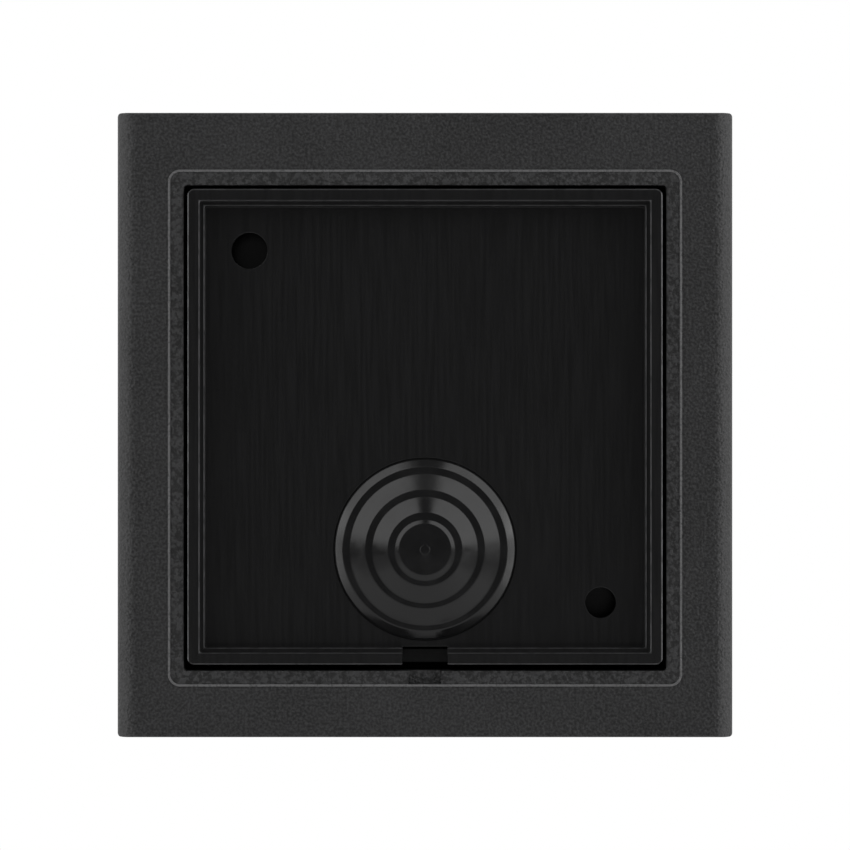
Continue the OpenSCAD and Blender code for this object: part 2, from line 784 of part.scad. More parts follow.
module microphone_leads() {
    color("#b8b8b0") for (s = [-1, 1])
        tube(curve_points([
            [mic_x + s * lead_spread, fascia_y0 - boot_front_t - mic_t - lead_gap, mic_z],
            [mic_x + s * lead_spread, board_y1 + 6, mic_z],
            [mic_x + s * lead_spread, board_y1 + 3, mic_z + 3],
            [mic_x + s * lead_spread, board_y1 + lead_gap, mic_z + 3]
        ], 10), lead_r, [1, 0, 0]);
}

// ---------------------------------------------------------------- call button

// A plain bell: a dome, flared sides, a rim and a clapper
module bell_shape() {
    polygon(concat(
        arc(0, 0.9, bell_r * 0.8, 0, 180),
        [[-bell_r * 0.85, -0.6], [-bell_r * 1.25, -1.9], [bell_r * 1.25, -1.9], [bell_r * 0.85, -0.6]]
    ));
    translate([0, -2.9]) circle(r = 0.75, $fn = 32);
}

module button_symbol() {
    color("#d9d9d6") translate([button_x, 0, button_z])
        between(cap_y1 - symbol_t, cap_y1 + symbol_proud) bell_shape();
}

module call_button() {
    color("#a9abae") difference() {
        union() {
            bar(button_x, button_z, button_r, flange_y0, cap_y1);
            bar(button_x, button_z, flange_r, flange_y0, flange_y1);
        }
        ring(button_x, button_z, hub_r, skirt_in_r, flange_y0 - 1, shoulder_y);
        bar(button_x, button_z, hub_r + eps, flange_y0 - 1, hub_y0);
        translate([button_x, 0, button_z]) between(cap_y1 - symbol_t, cap_y1 + 1) bell_shape();
    }
    color("#a9abae") bar(button_x, button_z, hub_r, hub_y0, shoulder_y + eps);
}

module switch_plunger() {
    color("#c4b79a") bar(button_x, button_z, switch_r, plunger_y0, hub_y0);
}

module button_switch() {
    color("#1f1f20") difference() {
        slab(switch_size, switch_size, 0.5, board_y1, board_y1 + switch_h, button_x, button_z);
        bar(button_x, button_z, switch_r + switch_bore_gap, switch_bore_y, board_y1 + switch_h + 1);
    }
}

module button_spring() {
    steps = 14;
    y0 = board_y1 + spring_wire / 2;
    y1 = shoulder_y - spring_wire / 2;
    n = floor(steps * spring_turns);
    color("#c9cbce") tube([for (i = [0:n]) let(a = 360 * i / steps)
        [button_x + spring_r * cos(a), y0 + (y1 - y0) * i / n, button_z + spring_r * sin(a)]],
        spring_wire / 2, [0, 1, 0], 6);
}

module light_ring() {
    color("#cfe3ea") ring(button_x, button_z, light_ring_r0, light_ring_r1, seat_y,
                          front_plate_y1 + light_ring_proud);
}

// ---------------------------------------------------------------- name plate and lights

module name_window() {
    color("#c8d2d8") slab(name_w, name_h, name_round, name_y0, front_plate_y1, name_x, name_z);
}

module name_card() {
    color("#f2f0e8") slab(name_w - 2 * card_margin - 0.2, name_h - 2 * card_margin - 0.2, name_round - 0.2,
                          name_y0 - card_t, name_y0, name_x, name_z);
}

module status_lights() {
    color("#d8dcd8") for (x = status_x) bar(x, status_z, status_r, board_y1 + 1.0, front_plate_y1 + 0.1);
}

// ---------------------------------------------------------------- board and rear cover

module main_board() {
    color("#1c5238") difference() {
        slab(board_size, board_size, board_round, board_y0, board_y1);
        for (p = post_at) bar(p[0], p[1], screw_clear_r, board_y0 - 1, board_y1 + 1);
    }
}

module chip(x, z, w, h, t) {
    translate([x - w / 2, board_y1, z - h / 2]) cube([w, t, h]);
}

module board_parts() {
    color("#232325") {
        chip(6, -10, 10, 10, 1.2);
        chip(17, -12, 7, 5, 1.5);
        chip(-4, 2, 6, 8, 1.4);
        chip(22, 4, 4, 3, 1.0);
        chip(10, 4, 4, 2.4, 1.0);
    }
    color("#3a3a55") for (x = [-3, 5]) bar(x, -20.5, 3.0, board_y1, board_y1 + 6.5);
    color("#c9a94a") for (x = status_x) chip(x, status_z, 1.6, 1.2, 0.7);
}

module rear_cover() {
    inner = cover_size - 2 * cover_t;
    color("#1d1d1e") difference() {
        union() {
            difference() {
                slab(cover_size, cover_size, cover_round, cover_y0, cover_rim_y);
                slab(inner, inner, cover_round - cover_t, cover_y1, cover_rim_y + 1);
            }
            for (p = post_at) bar(p[0], p[1], cover_boss_r, cover_y1 - eps, board_y0);
        }
        for (p = post_at) {
            bar(p[0], p[1], screw_clear_r, cover_y0 - 1, board_y0 + 1);
            bar(p[0], p[1], screw_head_r + 0.3, cover_y0 - 1, cover_y0 + screw_sink);
        }
        slab(terminal_w + 0.6, terminal_h + 0.6, 0.4, cover_y0 - 1, cover_y1 + 1, 0, terminal_z);
        bar(trimmer_x, trimmer_z, rotor_r + 0.6, cover_y0 - 1, cover_y1 + 1);
    }
}

module rear_cover_seal() {
    color("#111112") difference() {
        slab(cover_size, cover_size, cover_round, cover_rim_y, fascia_y0);
        slab(cover_size - 2 * cover_t, cover_size - 2 * cover_t, cover_round - cover_t,
             cover_rim_y - 1, fascia_y0 + 1);
    }
}

module cover_screws() {
    color("#8f9194") for (p = post_at)
        screw(p[0], p[1], cover_y0 + screw_sink, screw_head_r, screw_head_t, post_screw_r,
              board_y1 - cover_y0 - screw_sink + post_screw_depth - 1);
}

module terminal_block() {
    color("#1e6b3c") difference() {
        slab(terminal_w, terminal_h, 0.4, terminal_y0, board_y0, 0, terminal_z);
        for (k = [0:poles - 1]) {
            x = (k - (poles - 1) / 2) * pole_pitch;
            bar(x, terminal_z + 0.6, terminal_screw_r + slip, terminal_y0 - 1, terminal_y0 + 3.4);
            translate([x - wire_hole / 2, terminal_y0 + 1.0, terminal_z - terminal_h / 2 - 1])
                cube([wire_hole, wire_hole, 4.4]);
        }
    }
}

module terminal_screws() {
    color("#b5b7ba") for (k = [0:poles - 1]) {
        x = (k - (poles - 1) / 2) * pole_pitch;
        difference() {
            bar(x, terminal_z + 0.6, terminal_screw_r, terminal_y0 + 0.8, terminal_y0 + 3.4);
            translate([x - 0.25, terminal_y0, terminal_z - 2]) cube([0.5, 1.5, 5]);
        }
    }
}

module trimmer_base() {
    color("#2b4a8a") difference() {
        slab(trimmer_size, trimmer_size, 0.4, trimmer_y0, board_y0, trimmer_x, trimmer_z);
        bar(trimmer_x, trimmer_z, rotor_pin_r + pivot_gap, trimmer_y0 - 1, trimmer_y0 + rotor_pin_l + slip);
    }
}

module trimmer_rotor() {
    color("#e6e2d6") {
        difference() {
            bar(trimmer_x, trimmer_z, rotor_r, trimmer_y0 - rotor_t, trimmer_y0 - thread_gap);
            translate([trimmer_x - 0.3, trimmer_y0 - rotor_t - 1, trimmer_z - rotor_r])
                cube([0.6, 1.7, 1.6 * rotor_r]);
        }
        bar(trimmer_x, trimmer_z, rotor_pin_r, trimmer_y0 - thread_gap - eps, trimmer_y0 + rotor_pin_l);
    }
}

module lock_screw() {
    color("#b5b7ba") translate([0, lock_y, 0]) {
        difference() {
            translate([0, 0, lock_head_z0]) cylinder(h = lock_head_h, r = lock_head_r);
            translate([0, 0, lock_head_z0 - 1]) cylinder(h = 2.3, r = lock_socket_r, $fn = 6);
        }
        translate([0, 0, lock_head_z0 + lock_head_h - eps])
            cylinder(h = lock_tip_z - lock_head_z0 - lock_head_h, r = lock_r);
    }
}

// ---------------------------------------------------------------- output
mounting_plate();
cable_grommet();
housing();
fascia_seal();
fascia();
fascia_screws();
front_plate();
camera_window();
camera_bezel();
camera_bracket();
camera_lights();
camera_cradle();
camera_board();
camera_lens();
camera_lens_glass();
speaker_cloth();
speaker_gasket();
speaker_frame();
speaker_cone();
speaker_magnet();
speaker_leads();
microphone_boot();
microphone();
microphone_leads();
call_button();
button_symbol();
switch_plunger();
button_switch();
button_spring();
light_ring();
name_window();
name_card();
status_lights();
main_board();
board_parts();
rear_cover();
rear_cover_seal();
cover_screws();
terminal_block();
terminal_screws();
trimmer_base();
trimmer_rotor();
lock_screw();
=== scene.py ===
"""Looks of a surface-mounted door intercom panel with its wall plate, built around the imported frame.

Each sub-assembly is a class that takes its places from the frame, adds its own pieces and dresses its nodes.
The wall is the plane Y = 0, the front faces +Y, and Z is up.
"""

import sys
import logging
import math
from collections.abc import Callable, Iterable, Sequence
from dataclasses import dataclass
from enum import Enum

import bmesh
import bpy
from mathutils import Matrix, Vector


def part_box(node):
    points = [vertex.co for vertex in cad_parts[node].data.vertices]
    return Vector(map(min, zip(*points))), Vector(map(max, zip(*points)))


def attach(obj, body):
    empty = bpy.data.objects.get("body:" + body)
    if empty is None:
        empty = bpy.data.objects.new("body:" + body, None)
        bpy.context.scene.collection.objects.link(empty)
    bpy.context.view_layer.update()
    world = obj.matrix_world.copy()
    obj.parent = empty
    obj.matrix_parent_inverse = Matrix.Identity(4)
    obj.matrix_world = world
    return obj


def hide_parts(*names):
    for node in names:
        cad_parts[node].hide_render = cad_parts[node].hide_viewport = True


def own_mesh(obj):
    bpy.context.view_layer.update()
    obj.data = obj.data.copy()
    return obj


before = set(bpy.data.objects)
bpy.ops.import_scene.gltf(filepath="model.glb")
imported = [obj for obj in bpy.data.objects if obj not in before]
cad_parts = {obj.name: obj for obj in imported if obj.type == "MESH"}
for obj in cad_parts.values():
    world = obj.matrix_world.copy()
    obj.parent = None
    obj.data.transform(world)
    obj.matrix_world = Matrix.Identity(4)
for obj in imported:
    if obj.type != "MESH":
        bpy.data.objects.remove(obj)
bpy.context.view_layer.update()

log = logging.getLogger("intercom")

MM = 0.001
WELD = 0.001 * MM
ON_AXIS = 0.0001 * MM
TOUCH = 0.05 * MM
SLIT = 0.01 * MM
FLAT = 0.3
SHARP = 30.0
CREASE = 40.0
Colour = tuple[float, float, float]
Point = tuple[float, float]


# ---------------------------------------------------------------- shader graph


class Value:
    """One output socket, with arithmetic on the number that it carries."""

    def __init__(self, graph: "Graph", socket: bpy.types.NodeSocket) -> None:
        """Keeps the graph that the socket belongs to, so that sums can add nodes."""
        self.graph = graph
        self.socket = socket

    def _math(self, operation: str, *terms: "Value | float") -> "Value":
        """Adds one Math node and returns its result."""
        return self.graph.node("ShaderNodeMath", {"operation": operation}, dict(enumerate(terms)))

    def __add__(self, other: "Value | float") -> "Value":
        """self + other."""
        return self._math("ADD", self, other)

    def __radd__(self, other: float) -> "Value":
        """other + self."""
        return self._math("ADD", other, self)

    def __sub__(self, other: "Value | float") -> "Value":
        """self - other."""
        return self._math("SUBTRACT", self, other)

    def __rsub__(self, other: float) -> "Value":
        """other - self."""
        return self._math("SUBTRACT", other, self)

    def __mul__(self, other: "Value | float") -> "Value":
        """self * other."""
        return self._math("MULTIPLY", self, other)

    def __rmul__(self, other: float) -> "Value":
        """other * self."""
        return self._math("MULTIPLY", other, self)

    def __truediv__(self, other: "Value | float") -> "Value":
        """self / other."""
        return self._math("DIVIDE", self, other)

    def __abs__(self) -> "Value":
        """The number without its sign."""
        return self._math("ABSOLUTE", self)

    def __mod__(self, period: float) -> "Value":
        """The number wrapped into one period, from zero up."""
        return self._math("FLOORED_MODULO", self, period)

    def power(self, exponent: float) -> "Value":
        """The number raised to a power."""
        return self._math("POWER", self, exponent)

    def wave(self, period: float) -> "Value":
        """A sine of the number, from -1 to 1, that repeats after each period."""
        return self._math("SINE", self * (2 * math.pi / period))

    def at_most(self, other: "Value | float") -> "Value":
        """The smaller of two numbers."""
        return self._math("MINIMUM", self, other)

    def at_least(self, other: "Value | float") -> "Value":
        """The larger of two numbers."""
        return self._math("MAXIMUM", self, other)

    def ramp(self, low: float, high: float, out_low: float = 0.0, out_high: float = 1.0) -> "Value":
        """The number as it passes from low to high, smoothly, scaled to the output range.

        Args:
            low: the number that gives out_low.
            high: the number that gives out_high.
            out_low: the result at and before low.
            out_high: the result at and after high.

        Returns:
            The eased number.
        """
        settings = {"interpolation_type": "SMOOTHSTEP", "clamp": True}
        return self.graph.node("ShaderNodeMapRange", settings, {
            "Value": self, "From Min": low, "From Max": high, "To Min": out_low, "To Max": out_high,
        })


class Graph:
    """The nodes of one material, around a single Principled shader."""

    def __init__(self, name: str) -> None:
        """Starts an empty material."""
        self.material = bpy.data.materials.new(name)
        self.material.use_nodes = True
        self.tree = self.material.node_tree
        self.tree.nodes.clear()
        self._place: Value | None = None

    def node(
        self,
        kind: str,
        settings: dict[str, object] | None = None,
        inputs: dict[str | int, object] | None = None,
        output: str | int = 0,
    ) -> Value:
        """Adds one node.

        Args:
            kind: the node's type.
            settings: its properties, set before its sockets.
            inputs: values or links for its sockets, by name or number.
            output: the socket that is wanted.

        Returns:
            The wanted output socket.
        """
        made = self.tree.nodes.new(kind)
        for key, setting in (settings or {}).items():
            setattr(made, key, setting)
        for key, given in (inputs or {}).items():
            if isinstance(given, Value):
                self.tree.links.new(given.socket, made.inputs[key])
            else:
                made.inputs[key].default_value = given
        return Value(self, made.outputs[output])

    @property
    def place(self) -> Value:
        """The point on the surface, in metres in the row frame."""
        if self._place is None:
            self._place = self.node("ShaderNodeTexCoord", output="Object")
        return self._place

    def vector(self, operation: str, *terms: "Value | Sequence[float]") -> Value:
        """Adds one Vector Math node and returns its vector."""
        return self.node("ShaderNodeVectorMath", {"operation": operation}, dict(enumerate(terms)), "Vector")

    def axes(self, vector: Value) -> tuple[Value, Value, Value]:
        """The three numbers of a vector.

        Args:
            vector: the vector to take apart.

        Returns:
            Its X, Y and Z.
        """
        parts = self.node("ShaderNodeSeparateXYZ", inputs={0: vector})
        outputs = parts.socket.node.outputs
        return tuple(Value(self, outputs[i]) for i in range(3))

    def noise(
        self, size: float, stretch: Sequence[float] = (1, 1, 1), detail: float = 2.0, seed: float = 0.0,
    ) -> Value:
        """Soft noise from 0 to 1.

        Args:
            size: the size of its patches, in metres.
            stretch: how many times as long the patches are along each axis.
            detail: how many finer octaves are added.
            seed: moves the pattern, so that two uses differ.

        Returns:
            The noise.
        """
        scale = [1 / (size * s) for s in stretch]
        scaled = self.vector("MULTIPLY_ADD", self.place, scale, (seed, seed, seed))
        return self.node("ShaderNodeTexNoise", inputs={"Vector": scaled, "Scale": 1.0, "Detail": detail})

    def cells(self, size: float) -> Value:
        """Distance to the nearest point of a cell pattern.

        Args:
            size: the size of a cell, in metres.

        Returns:
            The distance, in cell sizes.
        """
        scaled = self.vector("MULTIPLY", self.place, [1 / size] * 3)
        return self.node("ShaderNodeTexVoronoi", {"feature": "F1"}, {"Vector": scaled, "Scale": 1.0})

    def mix(self, share: "Value | float", first: "Value | Colour", second: "Value | Colour") -> Value:
        """A colour between two.

        Args:
            share: 0 for the first colour and 1 for the second.
            first: a colour or a link.
            second: a colour or a link.

        Returns:
            The mixed colour.
        """
        ends = [c if isinstance(c, Value) else (*c, 1.0) for c in (first, second)]
        inputs = {0: share, 6: ends[0], 7: ends[1]}
        return self.node("ShaderNodeMix", {"data_type": "RGBA"}, inputs, output=2)

    def bump(self, height: Value, depth: float, below: "Value | None" = None) -> Value:
        """A normal bent by a height.

        Args:
            height: the height, from 0 to 1.
            depth: what a height of 1 stands for, in metres.
            below: another bump that this one lies on.

        Returns:
            The normal.
        """
        inputs = {"Height": height, "Distance": depth, "Strength": 1.0}
        if below is not None:
            inputs["Normal"] = below
        return self.node("ShaderNodeBump", inputs=inputs)

    def finish(self, **inputs: object) -> bpy.types.Material:
        """Adds the Principled shader and the output.

        Args:
            inputs: the shader's sockets, with _ for a space in their names.

        Returns:
            The finished material.
        """
        named = {key.replace("_", " "): given for key, given in inputs.items()}
        for key, given in named.items():
            if isinstance(given, tuple) and len(given) == 3:
                named[key] = (*given, 1.0)
        shader = self.node("ShaderNodeBsdfPrincipled", inputs=named)
        output = self.tree.nodes.new("ShaderNodeOutputMaterial")
        self.tree.links.new(shader.socket, output.inputs["Surface"])
        return self.material


# ---------------------------------------------------------------- finishes


def spread(colour: Colour, by: float) -> tuple[Colour, Colour]:
    """A darker and a lighter tone of a colour, both as far from it."""
    return shade(colour, 1 - by), shade(colour, 1 + by)


def shade(colour: Colour, amount: float) -> Colour:
    """A colour made lighter or darker.

    Args:
        colour: the colour.
        amount: what it is multiplied by.

    Returns:
        The new colour.
    """
    return tuple(min(1.0, c * amount) for c in colour)


@dataclass(frozen=True)
class Finish:
    """The finish of one of the record's material slots."""

    slot: str
    colour: Colour
    roughness: float = 0.5

    def make(self) -> bpy.types.Material:
        """Builds the material."""
        graph = Graph(self.slot)
        return graph.finish(**self.surface(graph))

    def surface(self, graph: Graph) -> dict[str, object]:
        """What the shader's sockets get.

        Args:
            graph: the material's nodes.

        Returns:
            Values and links by socket name.
        """
        raise NotImplementedError


@dataclass(frozen=True)
class Moulded(Finish):
    """Injection-moulded plastic with a fine grain and slow changes of tone along the flow."""

    grain: float = 0.2 * MM
    depth: float = 0.004 * MM
    mottle: float = 0.12
    wear: float = 0.04
    coat: float = 0.0

    def surface(self, graph: Graph) -> dict[str, object]:
        """What the shader's sockets get; see Finish."""
        fine = graph.noise(self.grain, detail=3.0)
        slow = graph.noise(9 * MM, stretch=(1, 1, 2.5), detail=3.0, seed=3.7)
        tone = slow.ramp(0.25, 0.75)
        return {
            "Base Color": graph.mix(tone, *spread(self.colour, self.mottle)),
            "Roughness": self.roughness + (fine - 0.5) * 0.08 + (slow - 0.5) * (2 * self.wear),
            "Coat Weight": self.coat,
            "Coat Roughness": 0.08,
            "Normal": graph.bump(fine, self.depth),
        }


@dataclass(frozen=True)
class HousingTexture(Finish):
    """Spark-eroded plastic that is coarser in the narrow band around the plate opening, with a highlight
    painted on the raised ridge line of its back face.
    """

    opening: tuple[float, float] = (0.0, 0.0)
    opening_z: float = 0.0
    band: float = 2.0 * MM
    line_y: float = 0.0
    # pale colour painted on the crest of the raised ridge line, as the highlight that its rounded edge catches
    ridge_highlight_colour: Colour = (0.14, 0.14, 0.142)
    grain: float = 0.38 * MM
    depth: float = 0.15 * MM

    def surface(self, graph: Graph) -> dict[str, object]:
        """What the shader's sockets get; see Finish."""
        x, y, z = graph.axes(graph.place)
        across = abs(x) - self.opening[0] / 2
        upright = abs(z - self.opening_z) - self.opening[1] / 2
        away = across.at_least(upright)
        in_band = away.ramp(self.band * 0.94, self.band * 1.02, 1.0, 0.0)
        fine = graph.noise(self.grain, detail=2.0)
        coarse = graph.noise(self.grain * 1.8, detail=2.0, seed=5.1)
        pits = graph.cells(self.grain * 1.5).ramp(0.1, 0.6)
        height = fine * 0.65 + pits * 0.35 + in_band * (coarse - 0.5) * 1.8
        slow = graph.noise(14 * MM, detail=3.0, seed=1.3).ramp(0.3, 0.7)
        # the grain's random tone, stretched far lighter and darker than the plastic's own colour, so that the
        # light grain specks are also painted sparkle highlights
        grain_tone_and_sparkle = (fine + in_band * (coarse - 0.5) * 1.5).ramp(0.32, 0.7)
        body = graph.mix(grain_tone_and_sparkle * 0.85 + slow * 0.15, shade(self.colour, 0.15), shade(self.colour, 2.0))
        # painted highlight: the crest of the raised ridge line gets the pale colour and a lower roughness,
        # broken up by the grain
        ridge_painted_highlight = y.ramp(self.line_y - 0.02 * MM, self.line_y, 1.0, 0.0) * fine.ramp(0.15, 0.55, 0.35, 1.0)
        return {
            "Base Color": graph.mix(ridge_painted_highlight, body, self.ridge_highlight_colour),
            "Roughness": self.roughness + (fine - 0.5) * 0.16 - ridge_painted_highlight * 0.12,
            "Normal": graph.bump(height, self.depth),
        }


@dataclass(frozen=True)
class PlateSkin(Finish):
    """Smooth moulded plastic with faint flow streaks, a weld line beside one screw hole, and highlights painted
    along the edges of its lip and step.
    """

    weld_from: Point = (0.0, 0.0)
    weld_to: Point = (0.0, 0.0)
    weld_width: float = 0.12 * MM
    middle: Point = (0.0, 0.0)
    half: Point = (0.0, 0.0)
    # inset from the outline and depth of each edge along which a thin highlight is painted
    edges: tuple[Point, ...] = ((0.1 * MM, 0.0), (1.75 * MM, 0.0), (2.4 * MM, 1.2 * MM))
    edge_width: float = 0.17 * MM
    edge_depth: float = 0.3 * MM
    edge_highlight_colour: Colour = (0.15, 0.15, 0.155)

    def surface(self, graph: Graph) -> dict[str, object]:
        """What the shader's sockets get; see Finish."""
        x, y, z = graph.axes(graph.place)
        (x0, z0), (x1, z1) = self.weld_from, self.weld_to
        length = math.hypot(x1 - x0, z1 - z0)
        run = ((x - x0) * (x1 - x0) + (z - z0) * (z1 - z0)) / length
        side = abs(((x - x0) * (z1 - z0) - (z - z0) * (x1 - x0)) / length)
        beyond = abs(run - length / 2).ramp(length / 2 - 0.4 * MM, length / 2)
        weld = side.ramp(0.0, self.weld_width, 1.0, 0.0) * (1 - beyond)
        across = self.half[0] - abs(x - self.middle[0])
        upright = self.half[1] - abs(z - self.middle[1])
        inset = across.at_most(upright)
        # painted highlight: thin pale lines along the lip's outer edge and the two edges of the step inside it,
        # full strength on the left and right sides and weaker at the top and bottom
        painted_edge_highlight = sum((
            abs(inset - at).ramp(0.0, self.edge_width, 1.0, 0.0)
            * abs(y - depth).ramp(self.edge_depth / 2, self.edge_depth, 1.0, 0.0)
            for at, depth in self.edges
        ), 0.0) * (upright - across).ramp(-0.3 * MM, 0.3 * MM, 0.35, 1.0)
        streaks = graph.noise(0.5 * MM, stretch=(1, 1, 24), detail=3.0)
        fine = graph.noise(0.12 * MM, detail=2.0)
        waves = graph.noise(11 * MM, detail=2.0, seed=2.2)
        # the painted edge highlight, broken up by slow noise
        tone_share = painted_edge_highlight * graph.noise(1.6 * MM, detail=4.0, seed=7.0).ramp(0.3, 0.6, 0.45, 1.0)
        skin = graph.mix(streaks.ramp(0.3, 0.7), shade(self.colour, 0.75), shade(self.colour, 1.25))
        return {
            "Base Color": graph.mix(tone_share, skin, self.edge_highlight_colour),
            "Roughness": self.roughness + (streaks - 0.5) * 0.02 + (waves - 0.5) * 0.05,
            "Normal": graph.bump(weld, 0.012 * MM, graph.bump(waves + fine * 0.02, 0.02 * MM)),
        }


@dataclass(frozen=True)
class Elastomer(Finish):
    """Rubber or soft plastic, with a faint bloom on its surface."""

    grain: float = 0.15 * MM
    depth: float = 0.002 * MM
    bloom: float = 0.1

    def surface(self, graph: Graph) -> dict[str, object]:
        """What the shader's sockets get; see Finish."""
        fine = graph.noise(self.grain, detail=2.0)
        bloom = graph.noise(3.5 * MM, detail=4.0, seed=8.0).ramp(0.35, 0.7)
        return {
            "Base Color": graph.mix(bloom, self.colour, shade(self.colour, 1 + 2 * self.bloom)),
            "Roughness": self.roughness + bloom * self.bloom + (fine - 0.5) * 0.04,
            "Normal": graph.bump(fine, self.depth),
        }


class Lay(Enum):
    """The direction of the fine lines on a metal."""

    STRAIGHT = "straight"
    SPUN = "spun"
    CAST = "cast"


@dataclass(frozen=True)
class Metal(Finish):
    """Bare or plated metal with the lines or grain that its making left."""

    lay: Lay = Lay.STRAIGHT
    centre: Point = (0.0, 0.0)
    line: float = 0.06 * MM
    depth: float = 0.0012 * MM
    tarnish: float = 0.1

    def surface(self, graph: Graph) -> dict[str, object]:
        """What the shader's sockets get; see Finish."""
        lines = self._lines(graph)
        patches = graph.noise(6 * MM, detail=4.0, seed=4.4).ramp(0.35, 0.75)
        tone_share = lines * 0.6 + patches * 0.4
        return {
            "Base Color": graph.mix(tone_share, *spread(self.colour, self.tarnish)),
            "Metallic": 1.0,
            "Roughness": self.roughness + (lines - 0.5) * 0.16 + patches * 0.05,
            "Normal": graph.bump(lines, self.depth),
        }

    def _lines(self, graph: Graph) -> Value:
        """The pattern of lines or grain, from 0 to 1."""
        if self.lay is Lay.STRAIGHT:
            return graph.noise(self.line, stretch=(120, 1, 1), detail=4.0)
        if self.lay is Lay.CAST:
            return graph.noise(self.line * 4, detail=4.0)
        x, _, z = graph.axes(graph.place)
        radius = ((x - self.centre[0]).power(2.0) + (z - self.centre[1]).power(2.0)).power(0.5)
        inputs = {"W": radius, "Scale": 1 / self.line, "Detail": 3.0}
        return graph.node("ShaderNodeTexNoise", {"noise_dimensions": "1D"}, inputs)


@dataclass(frozen=True)
class Clear(Finish):
    """Clear or smoked plastic or glass with faint wiping marks."""

    alpha: float = 0.2
    ior: float = 1.5
    smear: float = 0.05

    def surface(self, graph: Graph) -> dict[str, object]:
        """What the shader's sockets get; see Finish."""
        marks = graph.noise(2.2 * MM, stretch=(4, 1, 1), detail=4.0).ramp(0.45, 0.8)
        return {
            "Base Color": graph.mix(marks, self.colour, shade(self.colour, 1.15)),
            "Roughness": self.roughness + marks * self.smear,
            "Alpha": self.alpha + marks * 0.02,
            "IOR": self.ior,
            "Normal": graph.bump(marks, 0.0006 * MM),
        }


@dataclass(frozen=True)
class CoatedGlass(Finish):
    """Lens glass whose coating shifts from one colour to another towards its edge."""

    edge: Colour = (0.1, 0.3, 0.2)

    def surface(self, graph: Graph) -> dict[str, object]:
        """What the shader's sockets get; see Finish."""
        turn = graph.node("ShaderNodeLayerWeight", inputs={"Blend": 0.45}, output="Facing")
        dust = graph.noise(0.5 * MM, detail=4.0).ramp(0.55, 0.85)
        return {
            "Base Color": graph.mix(turn, self.colour, self.edge),
            "Roughness": self.roughness + dust * 0.06,
            "Coat Weight": 1.0,
            "Coat Roughness": 0.02,
            "IOR": 1.7,
            "Normal": graph.bump(dust, 0.0004 * MM),
        }


@dataclass(frozen=True)
class Frosted(Finish):
    """Light-spreading plastic with a faint glow."""

    glow: float = 0.0

    def surface(self, graph: Graph) -> dict[str, object]:
        """What the shader's sockets get; see Finish."""
        frost = graph.noise(0.18 * MM, detail=3.0)
        cloud = graph.noise(2.5 * MM, detail=2.0, seed=6.0)
        return {
            "Base Color": graph.mix(cloud.ramp(0.3, 0.7), shade(self.colour, 0.94), self.colour),
            "Roughness": self.roughness + (frost - 0.5) * 0.12,
            "Emission Color": self.colour,
            "Emission Strength": self.glow,
            "Normal": graph.bump(frost, 0.004 * MM),
        }


@dataclass(frozen=True)
class Woven(Finish):
    """A fine plain weave of round threads, with shade painted into the hollows between them and highlight
    painted on their crowns.
    """

    pitch: float = 0.32 * MM

    def surface(self, graph: Graph) -> dict[str, object]:
        """What the shader's sockets get; see Finish."""
        x, _, z = graph.axes(graph.place)
        over = x.wave(2 * self.pitch) * z.wave(2 * self.pitch)
        warp = abs(x.wave(2 * self.pitch))
        weft = abs(z.wave(2 * self.pitch))
        height = (warp * over.ramp(-0.2, 0.2)).at_least(weft * over.ramp(-0.2, 0.2, 1.0, 0.0))
        lint = graph.noise(0.4 * MM, detail=4.0)
        # painted shade and highlight: the colour follows the threads' height, dark in the hollows and pale on
        # the crowns
        return {
            "Base Color": graph.mix(height, shade(self.colour, 0.35), shade(self.colour, 1.8)),
            "Roughness": self.roughness + (lint - 0.5) * 0.1,
            "Sheen Weight": 0.3,
            "Normal": graph.bump(height + lint * 0.15, 0.06 * MM),
        }


@dataclass(frozen=True)
class Paper(Finish):
    """Paper or card with short fibres."""

    def surface(self, graph: Graph) -> dict[str, object]:
        """What the shader's sockets get; see Finish."""
        fibres = graph.noise(0.25 * MM, stretch=(4, 1, 1), detail=5.0)
        pale = shade(self.colour, 1.04)
        return {
            "Base Color": graph.mix(fibres.ramp(0.3, 0.7), shade(self.colour, 0.94), pale),
            "Roughness": self.roughness + (fibres - 0.5) * 0.08,
            "Normal": graph.bump(fibres, 0.008 * MM),
        }


@dataclass(frozen=True)
class RuledCard(Paper):
    """A blank name card with one pale rule and a frame, and nothing written on it."""

    middle: Point = (0.0, 0.0)
    size: Point = (0.0, 0.0)
    ink: Colour = (0.28, 0.3, 0.33)

    def surface(self, graph: Graph) -> dict[str, object]:
        """What the shader's sockets get; see Finish."""
        x, _, z = graph.axes(graph.place)
        across = abs(x - self.middle[0])
        upright = abs(z - self.middle[1])
        border = (across - (self.size[0] / 2 - 1.1 * MM)).at_least(upright - (self.size[1] / 2 - 1.1 * MM))
        frame_line = abs(border).ramp(0.07 * MM, 0.12 * MM, 1.0, 0.0)
        inside = across.ramp(self.size[0] / 2 - 4.1 * MM, self.size[0] / 2 - 4.0 * MM, 1.0, 0.0)
        rule = abs(z - self.middle[1] + 2.2 * MM).ramp(0.06 * MM, 0.1 * MM, 1.0, 0.0) * inside
        paper = super().surface(graph)
        paper["Base Color"] = graph.mix(frame_line.at_least(rule) * 0.8, paper["Base Color"], self.ink)
        return paper


